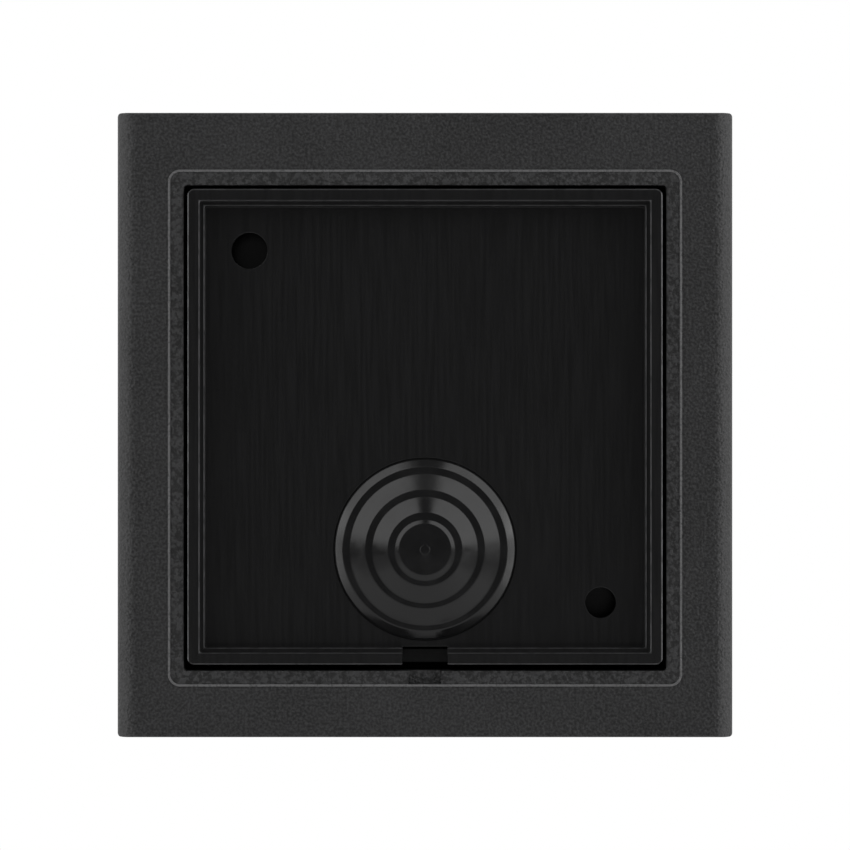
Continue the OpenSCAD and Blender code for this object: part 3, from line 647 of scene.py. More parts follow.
@dataclass(frozen=True)
class SolderMask(Finish):
    """Green solder mask over copper tracks, with the woven glass just showing through."""

    track: Colour = (0.035, 0.2, 0.09)
    pitch: float = 1.27 * MM

    def surface(self, graph: Graph) -> dict[str, object]:
        """What the shader's sockets get; see Finish."""
        x, _, z = graph.axes(graph.place)
        zone = graph.noise(7 * MM, detail=0.0, seed=9.0)
        turned = zone.ramp(0.5, 0.501)
        along_x = abs((z % self.pitch) - self.pitch / 2).ramp(0.14 * MM, 0.18 * MM, 1.0, 0.0)
        along_z = abs((x % self.pitch) - self.pitch / 2).ramp(0.14 * MM, 0.18 * MM, 1.0, 0.0)
        busy = graph.noise(4 * MM, detail=1.0, seed=2.0).ramp(0.46, 0.465)
        tracks = (along_x * turned + along_z * (1 - turned)) * busy
        weave = x.wave(0.6 * MM) * z.wave(0.6 * MM)
        return {
            "Base Color": graph.mix(tracks, self.colour, self.track),
            "Roughness": self.roughness + tracks * 0.05,
            "Coat Weight": 0.4,
            "Coat Roughness": 0.15,
            "Normal": graph.bump(tracks + weave * 0.05, 0.03 * MM),
        }


class Palette:
    """Every finish of the object, by the record's slot names."""

    def __init__(self, finishes: Iterable[Finish]) -> None:
        """Builds each finish once."""
        self._materials = {finish.slot: finish.make() for finish in finishes}

    def __getitem__(self, slot: str) -> bpy.types.Material:
        """The material of a slot."""
        return self._materials[slot]


# ---------------------------------------------------------------- shapes


def arc(middle: Point, radius: float, start: float, end: float, steps: int = 8) -> list[Point]:
    """Points along an arc.

    Args:
        middle: its centre.
        radius: its radius.
        start: the first angle, in degrees.
        end: the last angle, in degrees.
        steps: how many pieces it has.

    Returns:
        The points, both ends included.
    """
    angles = [math.radians(start + (end - start) * i / steps) for i in range(steps + 1)]
    return [(middle[0] + radius * math.cos(a), middle[1] + radius * math.sin(a)) for a in angles]


def rounded(
    width: float, height: float, radius: float, middle: Point = (0.0, 0.0), steps: int = 6,
) -> list[Point]:
    """The outline of a rounded rectangle.

    Args:
        width: its size along the first axis.
        height: its size along the second axis.
        radius: its corner radius.
        middle: its centre.
        steps: how many pieces each corner has.

    Returns:
        The points, anticlockwise.
    """
    across, upright = width / 2 - radius, height / 2 - radius
    corners = [(across, upright), (-across, upright), (-across, -upright), (across, -upright)]
    points: list[Point] = []
    for quarter, (x, z) in enumerate(corners):
        points += arc((middle[0] + x, middle[1] + z), radius, 90 * quarter, 90 * quarter + 90, steps)
    return points


def eased(profile: Sequence[Point], radius: float, steps: int = 3) -> list[Point]:
    """A profile with its corners rounded and its two ends kept.

    Args:
        profile: the sharp profile.
        radius: how far a rounding starts before its corner, at most.
        steps: how many pieces each rounding has.

    Returns:
        The rounded profile.
    """
    points = [profile[0]]
    for before, corner, after in zip(profile, profile[1:], profile[2:]):
        reach = min(radius, 0.4 * math.dist(before, corner), 0.4 * math.dist(corner, after))
        start = toward(corner, before, reach)
        end = toward(corner, after, reach)
        for i in range(steps + 1):
            t = i / steps
            weights = ((1 - t) ** 2, 2 * t * (1 - t), t * t)
            pulls = list(zip(weights, (start, corner, end)))
            points.append(tuple(sum(w * p[k] for w, p in pulls) for k in range(2)))
    return [*points, profile[-1]]


def toward(start: Point, end: Point, distance: float) -> Point:
    """The point at a distance from start on the way to end."""
    share = distance / (math.dist(start, end) or 1.0)
    return (start[0] + (end[0] - start[0]) * share, start[1] + (end[1] - start[1]) * share)


@dataclass(frozen=True)
class Extent:
    """The box that a node, or one solid of it, takes up."""

    low: Vector
    high: Vector

    @classmethod
    def of(cls, node: str) -> "Extent":
        """The box of a node."""
        return cls(*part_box(node))

    @property
    def mid(self) -> Vector:
        """The middle of the box."""
        return (self.low + self.high) / 2

    @property
    def size(self) -> Vector:
        """The box's size along each axis."""
        return self.high - self.low

    @property
    def axis(self) -> Point:
        """The X and Z of a round node's axis along Y."""
        return (self.mid.x, self.mid.z)


def solids_of(node: str) -> list[Extent]:
    """The boxes of a node's separate solids, from left to right.

    Args:
        node: the node's name.

    Returns:
        One box for each solid.
    """
    bm = bmesh.new()
    bm.from_mesh(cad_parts[node].data)
    bmesh.ops.remove_doubles(bm, verts=bm.verts, dist=WELD)
    left = set(bm.verts)
    boxes = []
    while left:
        front, found = [left.pop()], []
        while front:
            vert = front.pop()
            found.append(vert.co.copy())
            for edge in vert.link_edges:
                other = edge.other_vert(vert)
                if other in left:
                    left.remove(other)
                    front.append(other)
        low = Vector([min(p[k] for p in found) for k in range(3)])
        high = Vector([max(p[k] for p in found) for k in range(3)])
        boxes.append(Extent(low, high))
    bm.free()
    return sorted(boxes, key=lambda box: (round(box.mid.x, 5), box.mid.z))


class Solid:
    """A mesh under construction, in metres, in the row frame."""

    def __init__(self) -> None:
        """Starts an empty mesh."""
        self.bm = bmesh.new()

    @classmethod
    def of_node(cls, node: str) -> "Solid":
        """A node's shape, with its split corners joined and its flat faces made whole.

        Args:
            node: the node's name.

        Returns:
            The mesh, ready to be worked on.
        """
        solid = cls()
        solid.bm.from_mesh(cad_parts[node].data)
        bmesh.ops.remove_doubles(solid.bm, verts=solid.bm.verts, dist=WELD)
        bmesh.ops.dissolve_limit(
            solid.bm, angle_limit=math.radians(FLAT), verts=solid.bm.verts, edges=solid.bm.edges,
        )
        return solid

    def turn(
        self, middle: Vector, profile: Sequence[Point], sides: int = 96, closed: bool = False,
    ) -> "Solid":
        """Adds a shape turned about an axis along Y.

        Args:
            middle: a point on its axis.
            profile: pairs of radius and distance along the axis; unless it is closed, its ends lie on the axis.
            sides: how many sides it has.
            closed: whether the profile's last point joins its first.

        Returns:
            This mesh.
        """
        rings = []
        for radius, along in profile:
            count = 1 if radius < ON_AXIS else sides
            angles = [2 * math.pi * i / sides for i in range(count)]
            rings.append([
                self.bm.verts.new(middle + Vector((radius * math.cos(a), along, radius * math.sin(a))))
                for a in angles
            ])
        pairs = list(zip(rings, rings[1:]))
        if closed:
            pairs.append((rings[-1], rings[0]))
        for lower, upper in pairs:
            for i in range(sides):
                k = (i + 1) % sides
                corners = [
                    lower[i % len(lower)], lower[k % len(lower)], upper[k % len(upper)], upper[i % len(upper)],
                ]
                unique = list(dict.fromkeys(corners))
                if len(unique) > 2:
                    self.bm.faces.new(unique)
        return self

    def extrude(self, outline: Sequence[Point], y0: float, y1: float) -> "Solid":
        """Adds a flat outline in X and Z, made solid between two depths.

        Args:
            outline: its points.
            y0: the depth of its back.
            y1: the depth of its front.

        Returns:
            This mesh.
        """
        back = [self.bm.verts.new((x, y0, z)) for x, z in outline]
        front = [self.bm.verts.new((x, y1, z)) for x, z in outline]
        self.bm.faces.new(back)
        self.bm.faces.new(front[::-1])
        for i in range(len(outline)):
            k = (i + 1) % len(outline)
            self.bm.faces.new([back[k], back[i], front[i], front[k]])
        return self

    def soften(
        self, width: float, where: Callable[[Vector], bool], steps: int = 2,
    ) -> "Solid":
        """Rounds the sharp edges.

        Args:
            width: how far the rounding reaches onto each face.
            where: says whether an edge at that middle point is wanted.
            steps: how many pieces the rounding has.

        Returns:
            This mesh.
        """
        edges = [
            edge for edge in self.bm.edges
            if edge.is_manifold and edge.calc_face_angle(0.0) > math.radians(SHARP)
            and where((edge.verts[0].co + edge.verts[1].co) / 2)
        ]
        bmesh.ops.bevel(
            self.bm, geom=edges, offset=width, offset_type="OFFSET", segments=steps, profile=0.5,
            affect="EDGES", clamp_overlap=True, miter_outer="ARC",
        )
        return self

    def to_object(self, name: str) -> bpy.types.Object:
        """Turns the mesh into a shaded object.

        Args:
            name: the object's name.

        Returns:
            The object, linked to the scene.
        """
        bmesh.ops.recalc_face_normals(self.bm, faces=self.bm.faces)
        for face in self.bm.faces:
            face.smooth = True
        for edge in self.bm.edges:
            edge.smooth = edge.calc_face_angle(0.0) < math.radians(CREASE)
        mesh = bpy.data.meshes.new(name)
        self.bm.to_mesh(mesh)
        self.bm.free()
        made = bpy.data.objects.new(name, mesh)
        bpy.context.scene.collection.objects.link(made)
        even = made.modifiers.new("even_shading", "WEIGHTED_NORMAL")
        even.keep_sharp = True
        even.weight = 100
        return made


# ---------------------------------------------------------------- sub-assemblies


@dataclass
class SubAssembly:
    """A group of pieces that are made and dressed together."""

    palette: Palette
    body: str = "station"

    def build(self) -> None:
        """Adds the pieces that are made here."""

    def dress(self) -> None:
        """Gives the nodes of the frame their finishes."""

    def fit(
        self, solid: Solid, name: str, slot: str, replaces: Sequence[str] = (), body: str | None = None,
    ) -> bpy.types.Object:
        """Turns a mesh into a piece that rides on a body.

        Args:
            solid: the mesh.
            name: the piece's name.
            slot: the record's slot that it takes its finish from.
            replaces: the nodes that it stands for.
            body: the body that it rides on, where that isn't the sub-assembly's own.

        Returns:
            The piece.
        """
        piece = solid.to_object(name)
        piece.data.materials.append(self.palette[slot])
        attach(piece, body or self.body)
        if replaces:
            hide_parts(*replaces)
        log.info("%s: %s, %d faces", type(self).__name__, name, len(piece.data.polygons))
        return piece

    def paint(self, *nodes: str) -> None:
        """Gives nodes of the frame the finish of the slot that the record names for them."""
        for node in nodes:
            for material_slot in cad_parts[node].material_slots:
                material_slot.material = self.palette[material_slot.material.name.split(".")[0]]
            log.info("%s: dressed %s", type(self).__name__, node)


@dataclass
class WallPlate(SubAssembly):
    """The plate that is screwed to the wall, with its stepped cable grommet."""

    body: str = "wall_plate"
    lip_round: float = 0.22 * MM
    edge_round: float = 0.1 * MM
    cone_bevel: float = 1.2 * MM
    cone_rim: float = 0.3 * MM
    cone_base: float = 1.0 * MM
    cone_flat: float = 0.93 * MM
    cone_steps: int = 3
    tip_radius: float = 3.75 * MM
    tip_slope: float = 0.7 * MM
    gate_radius: float = 0.7 * MM
    gate_height: float = 0.15 * MM
    floor_y: float = 4.0 * MM
    floor_t: float = 2.0 * MM
    inner_flange: float = 1.2 * MM
    inner_inset: float = 0.4 * MM
    bore_inset: float = 1.6 * MM
    wall: float = 1.4 * MM
    tip_thickness: float = 1.0 * MM
    tip_inset: float = 0.4 * MM
    rim_drop: float = 0.3 * MM
    cone_ease: float = 0.16 * MM
    back_ease: float = 0.15 * MM
    lip_zone: float = 0.5 * MM
    seen_depth: float = 6.5 * MM

    def build(self) -> None:
        """Adds the rounded plate and the grommet."""
        plate = Extent.of("mounting_plate")
        solid = Solid.of_node("mounting_plate")
        lip = min(plate.size.x, plate.size.z) / 2 - self.lip_zone

        def on_lip(point: Vector) -> bool:
            """Whether an edge runs round the outside of the wall face."""
            reach = max(abs(point.x - plate.mid.x), abs(point.z - plate.mid.z))
            return point.y < TOUCH and reach > lip

        solid.soften(self.lip_round, on_lip, steps=3)
        solid.soften(self.edge_round, lambda point: point.y < self.seen_depth)
        self.fit(solid, "wall_plate_moulding", "smooth_black", ["mounting_plate"])
        self.fit(self._grommet(), "stepped_grommet", "grommet_rubber", ["cable_grommet"])

    def _grommet(self) -> Solid:
        """The grommet: a stepped cone towards the wall and a flange on the other side."""
        box = Extent.of("cable_grommet")
        outer = box.size.x / 2
        tip_height = self.floor_y - box.low.y - self.gate_height
        first = outer - self.cone_bevel
        slopes = first - self.tip_radius - self.tip_slope - self.cone_steps * self.cone_flat
        slope = slopes / (self.cone_steps - 1)
        rise = (tip_height - self.cone_base) / (slopes + self.tip_slope)
        outside = [(outer, -self.rim_drop), (outer, self.cone_rim)]
        for step in range(self.cone_steps):
            radius = first - step * (slope + self.cone_flat)
            height = self.cone_base + step * slope * rise
            outside += [(radius, height), (radius - self.cone_flat, height)]
        gate_top = tip_height + self.gate_height
        outside += [
            (self.tip_radius, tip_height), (self.gate_radius, tip_height),
            (self.gate_radius, gate_top), (0.0, gate_top),
        ]
        inner = outer - self.inner_inset
        back = -(self.floor_t + self.inner_flange)
        hollow = tip_height - self.tip_thickness
        inside = [
            (0.0, hollow), (self.tip_radius - self.tip_inset, hollow),
            (first - self.wall, 0.0), (first - self.wall, back),
            (inner, back), (inner, -self.floor_t), (outer - self.bore_inset, -self.floor_t),
            (outer - self.bore_inset, -self.rim_drop), (outer, -self.rim_drop),
        ]
        profile = eased(outside[::-1], self.cone_ease, 4) + eased(inside[::-1], self.back_ease)[1:]
        middle = Vector((box.mid.x, self.floor_y, box.mid.z))
        turned = [(radius, -height) for radius, height in profile]
        return Solid().turn(middle, turned, sides=160)

    def dress(self) -> None:
        """Dresses the nodes that the pieces stand for, so that nothing keeps a plain finish."""
        self.paint("mounting_plate", "cable_grommet")


@dataclass
class Shell(SubAssembly):
    """The housing, its locking screw and the seal under the fascia."""

    line_height: float = 0.15 * MM
    line_round: float = 0.1 * MM
    edge_round: float = 0.14 * MM
    mouth_zone: float = 1.2 * MM
    mouth_drop: float = 0.3 * MM
    front_zone: float = 1.2 * MM

    def build(self) -> None:
        """Adds the housing with eased edges."""
        solid = Solid.of_node("housing")
        box = Extent.of("housing")
        rear = box.low.y + self.line_height + TOUCH
        opening = Extent.of("mounting_plate")
        reach = max(opening.size.x, opening.size.z) / 2 + self.mouth_zone

        def at_opening(point: Vector) -> bool:
            """Whether an edge lies at the mouth of the plate opening."""
            return point.y < rear and abs(point.x) < reach and abs(point.z) < reach + self.mouth_drop

        solid.soften(self.edge_round, at_opening)
        solid.soften(self.line_round, lambda point: point.y < box.low.y + TOUCH)
        solid.soften(self.edge_round, lambda point: point.y > box.high.y - self.front_zone)
        self.fit(solid, "housing_moulding", "textured_housing", ["housing"])

    def dress(self) -> None:
        """Dresses the housing, the seal and the locking screw."""
        self.paint("housing", "fascia_seal", "lock_screw")


@dataclass
class Fascia(SubAssembly):
    """The inner fascia, its screws and the brushed front plate with its three small signs."""

    edge_round: float = 0.12 * MM
    sign_size: float = 1.15 * MM
    sign_rise: float = 3.6 * MM
    sign_height: float = 0.03 * MM

    def build(self) -> None:
        """Adds the front plate with eased edges, and the signs above the status lights."""
        plate = Extent.of("front_plate")
        front = Solid.of_node("front_plate")
        front.soften(self.edge_round, lambda point: point.y > plate.mid.y)
        self.fit(front, "brushed_plate", "front_metal", ["front_plate"])
        y0 = plate.high.y - self.sign_height
        y1 = plate.high.y + self.sign_height
        makers = (self._bell, self._bubble, self._padlock)
        for light, maker in zip(solids_of("status_lights"), makers):
            solid = Solid()
            for outline in maker((light.mid.x, light.mid.z + self.sign_rise)):
                solid.extrude(outline, y0, y1)
            self.fit(solid, f"sign{maker.__name__}", "symbol_white")

    def _bell(self, at: Point) -> list[list[Point]]:
        """The outlines of a small bell."""
        x, z = at
        s = self.sign_size
        dome = arc((x, z + 0.25 * s), 0.6 * s, 0, 180, 12)
        skirt = ((-0.65, -0.3), (-1, -0.75), (1, -0.75), (0.65, -0.3))
        flare = [(x + across * s, z + up * s) for across, up in skirt]
        clapper = arc((x, z - 1.05 * s), 0.2 * s, 0, 337.5, 15)
        return [dome + flare, clapper]

    def _bubble(self, at: Point) -> list[list[Point]]:
        """The outline of a small speech bubble."""
        x, z = at
        s = self.sign_size
        body = rounded(2.2 * s, 1.5 * s, 0.4 * s, (x, z + 0.15 * s))
        tail = [(x + 0.1 * s, z - 0.6 * s), (x - 0.5 * s, z - 1.2 * s), (x - 0.45 * s, z - 0.6 * s)]
        low = min(range(len(body)), key=lambda i: (round(body[i][1], 7), body[i][0] < x))
        return [body[:low] + tail[::-1] + body[low:]]

    def _padlock(self, at: Point) -> list[list[Point]]:
        """The outlines of a small padlock that is open."""
        x, z = at
        s = self.sign_size
        block = rounded(1.7 * s, 1.2 * s, 0.2 * s, (x, z - 0.55 * s))
        outer = arc((x + 0.2 * s, z + 0.3 * s), 0.6 * s, -20, 180, 12)
        inner = arc((x + 0.2 * s, z + 0.3 * s), 0.38 * s, 180, -20, 12)
        leg = [(x - 0.4 * s, z), (x - 0.18 * s, z)]
        return [block, outer + leg + inner]

    def dress(self) -> None:
        """Dresses the fascia, its screws and the front plate."""
        self.paint("fascia", "fascia_screws", "front_plate")


@dataclass
class CameraUnit(SubAssembly):
    """The camera behind its smoked window."""

    mask_inset: float = 0.35 * MM
    mask_width: float = 1.45 * MM
    mask_thickness: float = 0.05 * MM
    bezel_rim: float = 1.0 * MM
    bezel_rim_height: float = 0.5 * MM
    bezel_slope: float = 0.5 * MM
    bezel_lip: float = 0.6 * MM
    bezel_ease: float = 0.1 * MM
    window_gap: float = 0.05 * MM
    ring_count: int = 5
    ring_depth: float = 0.45
    ring_width: float = 0.45 * MM
    ring_ledge: float = 0.05 * MM
    glass_edge: float = 0.5 * MM

    def build(self) -> None:
        """Adds the bezel, the printed mask behind the window, and the lens barrel with its baffle rings."""
        bezel = Extent.of("camera_bezel")
        window = Extent.of("camera_window")
        centre = Vector((bezel.mid.x, 0.0, bezel.mid.z))
        radius = window.size.x / 2
        outer = bezel.size.x / 2
        bore = radius + self.window_gap
        neck = outer - self.bezel_rim
        lip = radius - self.bezel_lip
        step = window.high.y
        shoulder = bezel.high.y - self.bezel_rim_height
        profile = eased([
            (bore, bezel.low.y), (neck, bezel.low.y), (neck, shoulder), (outer, shoulder),
            (outer - 0.05 * MM, bezel.high.y - 0.12 * MM), (outer - self.bezel_slope, bezel.high.y),
            (lip + self.bezel_slope, bezel.high.y - 0.06 * MM), (lip, step + 0.1 * MM), (lip, step),
            (bore, step), (bore, bezel.low.y + SLIT),
        ], self.bezel_ease)
        self.fit(Solid().turn(centre, profile, closed=True), "bezel_ring", "gloss_black", ["camera_bezel"])
        rim, hole = radius - self.mask_inset, radius - self.mask_inset - self.mask_width
        face, back = window.low.y, window.low.y - self.mask_thickness
        mask = [(rim, back), (rim, face), (hole, face), (hole, back)]
        self.fit(Solid().turn(centre, mask, closed=True), "window_mask", "gloss_black")
        self.fit(self._barrel(), "lens_barrel", "gloss_black", ["camera_lens"], "camera")
        self.fit(self._glass(), "front_lens", "lens_glass", ["camera_lens_glass"], "camera")

    def _barrel(self) -> Solid:
        """The lens barrel, with baffle rings that step down to the glass."""
        box = Extent.of("camera_lens")
        glass = Extent.of("camera_lens_glass")
        outer, inner = box.size.x / 2, glass.size.x / 2
        floor = glass.low.y
        depth = box.high.y - floor
        mouth = inner + self.ring_width
        points = [(0.0, box.low.y), (outer, box.low.y), (outer, box.high.y), (mouth, box.high.y)]
        for ring in range(self.ring_count):
            y = box.high.y - depth * self.ring_depth * (ring + 1) / self.ring_count
            radius = inner + self.ring_width * (1 - (ring + 1) / self.ring_count)
            points += [(radius + self.ring_ledge, y), (radius, y)]
        points += [(inner, floor), (0.0, floor)]
        return Solid().turn(Vector((box.mid.x, 0.0, box.mid.z)), eased(points, 0.05 * MM, 2))

    def _glass(self) -> Solid:
        """The domed front lens."""
        box = Extent.of("camera_lens_glass")
        radius = box.size.x / 2
        edge = self.glass_edge
        dome = box.size.y - edge
        sphere = (radius ** 2 + dome ** 2) / (2 * dome)
        half = math.degrees(math.asin(radius / sphere))
        crown = arc((0.0, box.low.y + edge + dome - sphere), sphere, 90 - half, 90, 16)
        profile = [(0.0, box.low.y), (radius, box.low.y), *crown[:-1], (0.0, box.high.y)]
        return Solid().turn(Vector((box.mid.x, 0.0, box.mid.z)), profile)

    def dress(self) -> None:
        """Dresses the camera's nodes."""
        self.paint(
            "camera_window", "camera_bezel", "camera_bracket", "camera_lights",
            "camera_cradle", "camera_board", "camera_lens", "camera_lens_glass",
        )


@dataclass
class SoundUnit(SubAssembly):
    """The speaker behind its cloth, and the microphone in its rubber boot.

    The cone's points are pairs in millimetres: the dust cap's are radius and depth, and the surround's are
    the distance in from the cone's edge and depth.
    """

    cap: tuple[Point, ...] = ((0.0, 0.75), (1.2, 0.85), (2.3, 1.4), (3.2, 2.35))
    surround: tuple[Point, ...] = ((2.4, 0.75), (1.9, 0.55), (1.2, 0.0), (0.5, 0.3), (0.0, 0.3))
    thickness: float = 0.25 * MM
    ease: float = 0.6 * MM

    def build(self) -> None:
        """Adds the paper cone with its rolled surround and dust cap."""
        box = Extent.of("speaker_cone")
        radius = box.size.x / 2
        y = box.high.y
        front = [(r * MM, y - depth * MM) for r, depth in self.cap]
        front += [(radius - inset * MM, y - depth * MM) for inset, depth in self.surround]
        back = [(r, v - self.thickness) for r, v in front[::-1]]
        profile = eased(front, self.ease, 5) + eased(back, self.ease, 5)
        solid = Solid().turn(Vector((box.mid.x, 0.0, box.mid.z)), profile)
        self.fit(solid, "paper_cone", "cone_paper", ["speaker_cone"])

    def dress(self) -> None:
        """Dresses the speaker's and the microphone's nodes."""
        self.paint(
            "speaker_cloth", "speaker_gasket", "speaker_frame", "speaker_cone", "speaker_magnet",
            "speaker_leads", "microphone_boot", "microphone", "microphone_leads",
        )


@dataclass
class CallButton(SubAssembly):
    """The call button with its bell, light ring, spring and switch."""

    cap_round: float = 0.3 * MM
    ring_round: float = 0.18 * MM
    rim_zone: float = 2.8 * MM
    ring_width: float = 2.1 * MM
    ring_chamfer: float = 0.15 * MM
    travel: float = 1.2 * MM

    def build(self) -> None:
        """Adds the cap with a rounded rim, the domed light ring, and the coil spring."""
        cap = Extent.of("call_button")
        solid = Solid.of_node("call_button")
        rim = cap.high.y - TOUCH
        edge = Extent.of("light_ring").size.x / 2 - self.rim_zone

        def on_rim(point: Vector) -> bool:
            """Whether an edge runs round the outside of the cap's face."""
            return point.y > rim and math.dist(cap.axis, (point.x, point.z)) > edge

        solid.soften(self.cap_round, on_rim, steps=4)
        self.fit(solid, "button_cap", "button_metal", ["call_button"], "button")
        ring = Extent.of("light_ring")
        outer = ring.size.x / 2
        inner = outer - self.ring_width
        shoulder = ring.high.y - self.ring_chamfer
        profile = eased([
            (inner, ring.low.y), (outer, ring.low.y), (outer, shoulder),
            (outer - self.ring_chamfer, ring.high.y), (inner + self.ring_chamfer, ring.high.y),
            (inner, shoulder), (inner, ring.low.y + SLIT),
        ], self.ring_round)
        middle = Vector((ring.mid.x, 0.0, ring.mid.z))
        glow = Solid().turn(middle, profile, closed=True, sides=128)
        self.fit(glow, "glow_ring", "light_diffuser", ["light_ring"])
        coil = Extent.of("button_spring")
        spring = self.fit(Solid.of_node("button_spring"), "coil_spring", "spring_steel", ["button_spring"])
        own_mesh(spring)

    def dress(self) -> None:
        """Dresses the button's nodes."""
        self.paint(
            "call_button", "button_symbol", "switch_plunger", "button_switch", "button_spring", "light_ring",
        )


@dataclass
class NamePlate(SubAssembly):
    """The name card under its clear window, and the three status lights."""

    edge_round: float = 0.25 * MM
    lens_round: float = 0.35 * MM

    def build(self) -> None:
        """Adds the window with a polished rounded edge."""
        box = Extent.of("name_window")
        solid = Solid.of_node("name_window")
        solid.soften(self.edge_round, lambda point: point.y > box.high.y - TOUCH, steps=3)
        self.fit(solid, "card_window", "name_clear", ["name_window"])
        for index, light in enumerate(solids_of("status_lights")):
            radius = light.size.x / 2
            crown_at = (radius - self.lens_round, light.high.y - self.lens_round)
            crown = arc(crown_at, self.lens_round, 0, 80, 4)
            profile = [(0.0, light.low.y), (radius, light.low.y), *crown, (0.0, light.high.y)]
            middle = Vector((light.mid.x, 0.0, light.mid.z))
            replaced = ["status_lights"] if index == 0 else []
            lens = Solid().turn(middle, profile, sides=48)
            self.fit(lens, f"status_lens_{index + 1}", "light_diffuser", replaced)

    def dress(self) -> None:
        """Dresses the window, the card and the lights."""
        self.paint("name_window", "name_card", "status_lights")


@dataclass
class Electronics(SubAssembly):
    """The main board, what is soldered to it, and the rear cover over it."""

    edge_round: float = 0.3 * MM

    def build(self) -> None:
        """Adds the rear cover with eased edges."""
        cover = Extent.of("rear_cover")
        solid = Solid.of_node("rear_cover")
        solid.soften(self.edge_round, lambda point: point.y < cover.low.y + 2 * TOUCH)
        self.fit(solid, "back_cover_moulding", "smooth_black", ["rear_cover"])

    def dress(self) -> None:
        """Dresses the board, the cover and what is fixed to them."""
        self.paint(
            "main_board", "board_parts", "rear_cover", "rear_cover_seal", "cover_screws",
            "terminal_block", "terminal_screws", "trimmer_base", "trimmer_rotor",
        )


# ---------------------------------------------------------------- studio


@dataclass(frozen=True)
class SoftBox:
    """A soft light that faces the object."""

    name: str
    place: tuple[float, float, float]
    size: Point
    power: float


@dataclass
class Studio:
    """The pale floor, the soft lights and the camera."""

    distance: float = 0.56
    view_width: float = 124.5 * MM
    view_plane: float = 3.6 * MM
    sensor: float = 36.0
    floor_z: float = -0.45
    floor_size: float = 5.4
    floor_tones: Point = (0.6, 0.64)
    dim: float = 0.09
    bright: float = 0.95
    turn_from: float = -0.12
    turn_to: float = 0.3
    boxes: Sequence[SoftBox] = ()

    def build(self) -> None:
        """Adds the camera, the lights, the floor and the surroundings."""
        self._camera()
        for box in self.boxes:
            self._light(box)
        self._floor()
        self._surroundings()
        bpy.context.scene.view_settings.view_transform = "Standard"

    def _camera(self) -> None:
        """Places the camera on the wall side, level with the object's middle."""
        data = bpy.data.cameras.new("camera")
        data.sensor_width = self.sensor
        data.lens = self.sensor * (self.distance + self.view_plane) / self.view_width
        camera = bpy.data.objects.new("camera", data)
        camera.location = (0.0, -self.distance, 0.0)
        camera.rotation_euler = (math.radians(90), 0.0, 0.0)
        bpy.context.scene.collection.objects.link(camera)
        bpy.context.scene.camera = camera

    def _light(self, box: SoftBox) -> None:
        """Adds one soft light that looks at the object."""
        data = bpy.data.lights.new(box.name, "AREA")
        data.shape = "RECTANGLE"
        data.size, data.size_y = box.size
        data.energy = box.power
        light = bpy.data.objects.new(box.name, data)
        light.location = box.place
        away = Vector(box.place).normalized()
        along = Vector((away.z, 0.0, -away.x)).normalized()
        light.rotation_euler = Matrix((along, away.cross(along), away)).transposed().to_euler()
        light.visible_camera = False
        bpy.context.scene.collection.objects.link(light)

    def _floor(self) -> None:
        """Adds the pale floor, well below the object."""
        half = self.floor_size / 2
        solid = Solid()
        corners = [(-half, -half), (half, -half), (half, half), (-half, half)]
        solid.bm.faces.new([solid.bm.verts.new((x, y, self.floor_z)) for x, y in corners])
        floor = solid.to_object("floor")
        graph = Graph("floor_paint")
        cloud = graph.noise(0.4, detail=2.0)
        floor.data.materials.append(graph.finish(
            Base_Color=graph.mix(cloud, *((tone,) * 3 for tone in self.floor_tones)), Roughness=0.7,
        ))

    def _surroundings(self) -> None:
        """Gives the studio bright walls in front of the wall plane and dim ones behind the camera."""
        world = bpy.data.worlds.new("studio")
        bpy.context.scene.world = world
        world.use_nodes = True
        tree = world.node_tree
        tree.nodes.clear()
        place = tree.nodes.new("ShaderNodeTexCoord")
        parts = tree.nodes.new("ShaderNodeSeparateXYZ")
        tree.links.new(place.outputs["Generated"], parts.inputs[0])
        ramp = tree.nodes.new("ShaderNodeMapRange")
        ramp.interpolation_type = "SMOOTHSTEP"
        ends = {"From Min": self.turn_from, "From Max": self.turn_to, "To Min": self.dim, "To Max": self.bright}
        for key, given in ends.items():
            ramp.inputs[key].default_value = given
        tree.links.new(parts.outputs["Y"], ramp.inputs["Value"])
        lit = tree.nodes.new("ShaderNodeBackground")
        tree.links.new(ramp.outputs[0], lit.inputs["Strength"])
        seen = tree.nodes.new("ShaderNodeBackground")
        seen.inputs["Strength"].default_value = 1.0
        seen.inputs["Color"].default_value = (1.0, 1.0, 1.0, 1.0)
        lit.inputs["Color"].default_value = (1.0, 1.0, 1.0, 1.0)
        path = tree.nodes.new("ShaderNodeLightPath")
        choose = tree.nodes.new("ShaderNodeMixShader")
        tree.links.new(path.outputs["Is Camera Ray"], choose.inputs[0])
        tree.links.new(lit.outputs[0], choose.inputs[1])
        tree.links.new(seen.outputs[0], choose.inputs[2])
        output = tree.nodes.new("ShaderNodeOutputWorld")
        tree.links.new(choose.outputs[0], output.inputs["Surface"])


# ---------------------------------------------------------------- the object


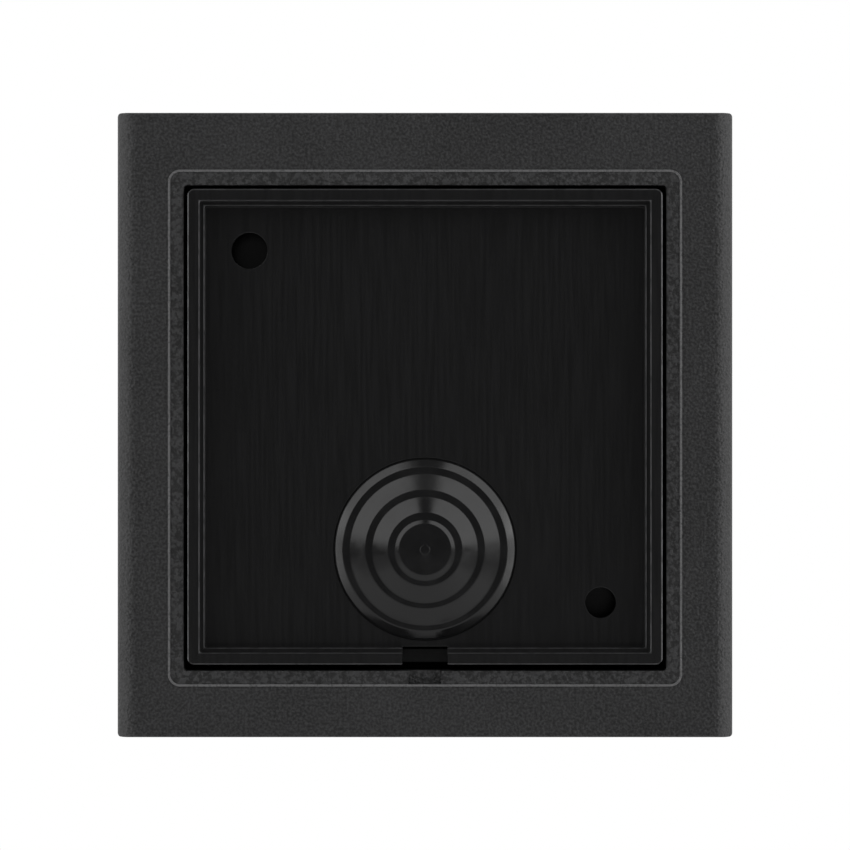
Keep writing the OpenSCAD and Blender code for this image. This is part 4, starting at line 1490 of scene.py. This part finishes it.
def finishes() -> list[Finish]:
    """Every finish of the object.

    Returns:
        One finish for each of the record's slots.
    """
    plate = Extent.of("mounting_plate")
    housing = Extent.of("housing")
    button = Extent.of("call_button")
    card = Extent.of("name_card")
    hole_inset = 8.85 * MM
    hole = (plate.low.x + hole_inset, plate.high.z - hole_inset)
    gaps = (1.1 * MM, 1.4 * MM)
    opening = (plate.size.x + gaps[0], plate.size.z + gaps[1])
    opening_drop = 0.2 * MM
    line_depth = 0.1 * MM
    weld_from = (hole[0], hole[1] + 2.6 * MM)
    weld_to = (hole[0] - 0.95 * MM, hole[1] + 6.7 * MM)
    return [
        HousingTexture(
            "textured_housing", (0.0185, 0.0185, 0.0192), 0.56,
            opening=opening, opening_z=plate.mid.z - opening_drop, line_y=housing.low.y + line_depth,
        ),
        PlateSkin(
            "smooth_black", (0.0085, 0.0085, 0.0088), 0.22,
            weld_from=weld_from, weld_to=weld_to, middle=plate.axis, half=(plate.size.x / 2, plate.size.z / 2),
        ),
        Elastomer("grommet_rubber", (0.0065, 0.0065, 0.0068), 0.16),
        Elastomer("seal_rubber", (0.012, 0.012, 0.012), 0.7, grain=0.3 * MM, depth=0.01 * MM),
        Metal(
            "front_metal", (0.13, 0.13, 0.14), 0.36, Lay.STRAIGHT,
            line=0.17 * MM, depth=0.003 * MM, tarnish=0.24,
        ),
        Clear("window_clear", (0.012, 0.013, 0.016), 0.04, alpha=0.72),
        Clear("name_clear", (0.85, 0.88, 0.9), 0.04, alpha=0.1),
        CoatedGlass("lens_glass", (0.03, 0.02, 0.09), 0.03, edge=(0.03, 0.16, 0.1)),
        Moulded("gloss_black", (0.01, 0.01, 0.011), 0.12, depth=0.0008 * MM, coat=0.6),
        Frosted("light_diffuser", (0.78, 0.86, 0.9), 0.35, glow=0.12),
        Frosted("light_chip", (0.85, 0.82, 0.6), 0.2),
        Metal("button_metal", (0.62, 0.62, 0.63), 0.28, Lay.SPUN, button.axis, line=0.09 * MM),
        Moulded("symbol_white", (0.8, 0.8, 0.78), 0.45),
        Metal("screw_steel", (0.52, 0.52, 0.54), 0.32, Lay.CAST, tarnish=0.2),
        Metal("spring_steel", (0.6, 0.6, 0.61), 0.25, Lay.CAST),
        Metal("speaker_steel", (0.42, 0.42, 0.43), 0.36, Lay.CAST),
        Metal("magnet", (0.14, 0.14, 0.15), 0.45, Lay.CAST, line=0.2 * MM, depth=0.004 * MM),
        Paper("cone_paper", (0.05, 0.048, 0.045), 0.8),
        Woven("cloth", (0.012, 0.012, 0.013), 0.85),
        SolderMask("board_green", (0.012, 0.1, 0.045), 0.4),
        Moulded("parts_black", (0.018, 0.018, 0.02), 0.5),
        Moulded("terminal_green", (0.02, 0.2, 0.08), 0.42),
        Moulded("trimmer_blue", (0.03, 0.08, 0.35), 0.4),
        Moulded("rotor_white", (0.72, 0.7, 0.62), 0.45),
        Elastomer("lead_red", (0.4, 0.03, 0.03), 0.4),
        Elastomer("lead_grey", (0.4, 0.4, 0.38), 0.4),
        RuledCard("card", (0.82, 0.81, 0.76), 0.75, middle=card.axis, size=(card.size.x, card.size.z)),
        Metal("can_metal", (0.6, 0.6, 0.62), 0.3, Lay.CAST),
    ]


SOFT_BOXES = (
    SoftBox("left_box", (-0.66, -0.66, 0.6), (1.3, 0.6), 3.6),
    SoftBox("right_box", (0.68, -0.66, 0.57), (1.3, 0.6), 3.9),
    SoftBox("left_strip", (-0.98, -0.2, -0.04), (1.0, 0.62), 3.6),
    SoftBox("right_strip", (0.98, -0.2, -0.04), (1.0, 0.62), 4.6),
)


def main() -> None:
    """Builds the studio and the object."""
    logging.basicConfig(level=logging.INFO, format="%(message)s", stream=sys.stdout)
    Studio(boxes=SOFT_BOXES).build()
    palette = Palette(finishes())
    groups = (WallPlate, Shell, Fascia, CameraUnit, SoundUnit, CallButton, NamePlate, Electronics)
    for group in groups:
        assembly = group(palette)
        assembly.build()
        assembly.dress()


if __name__ == "__main__":
    main()
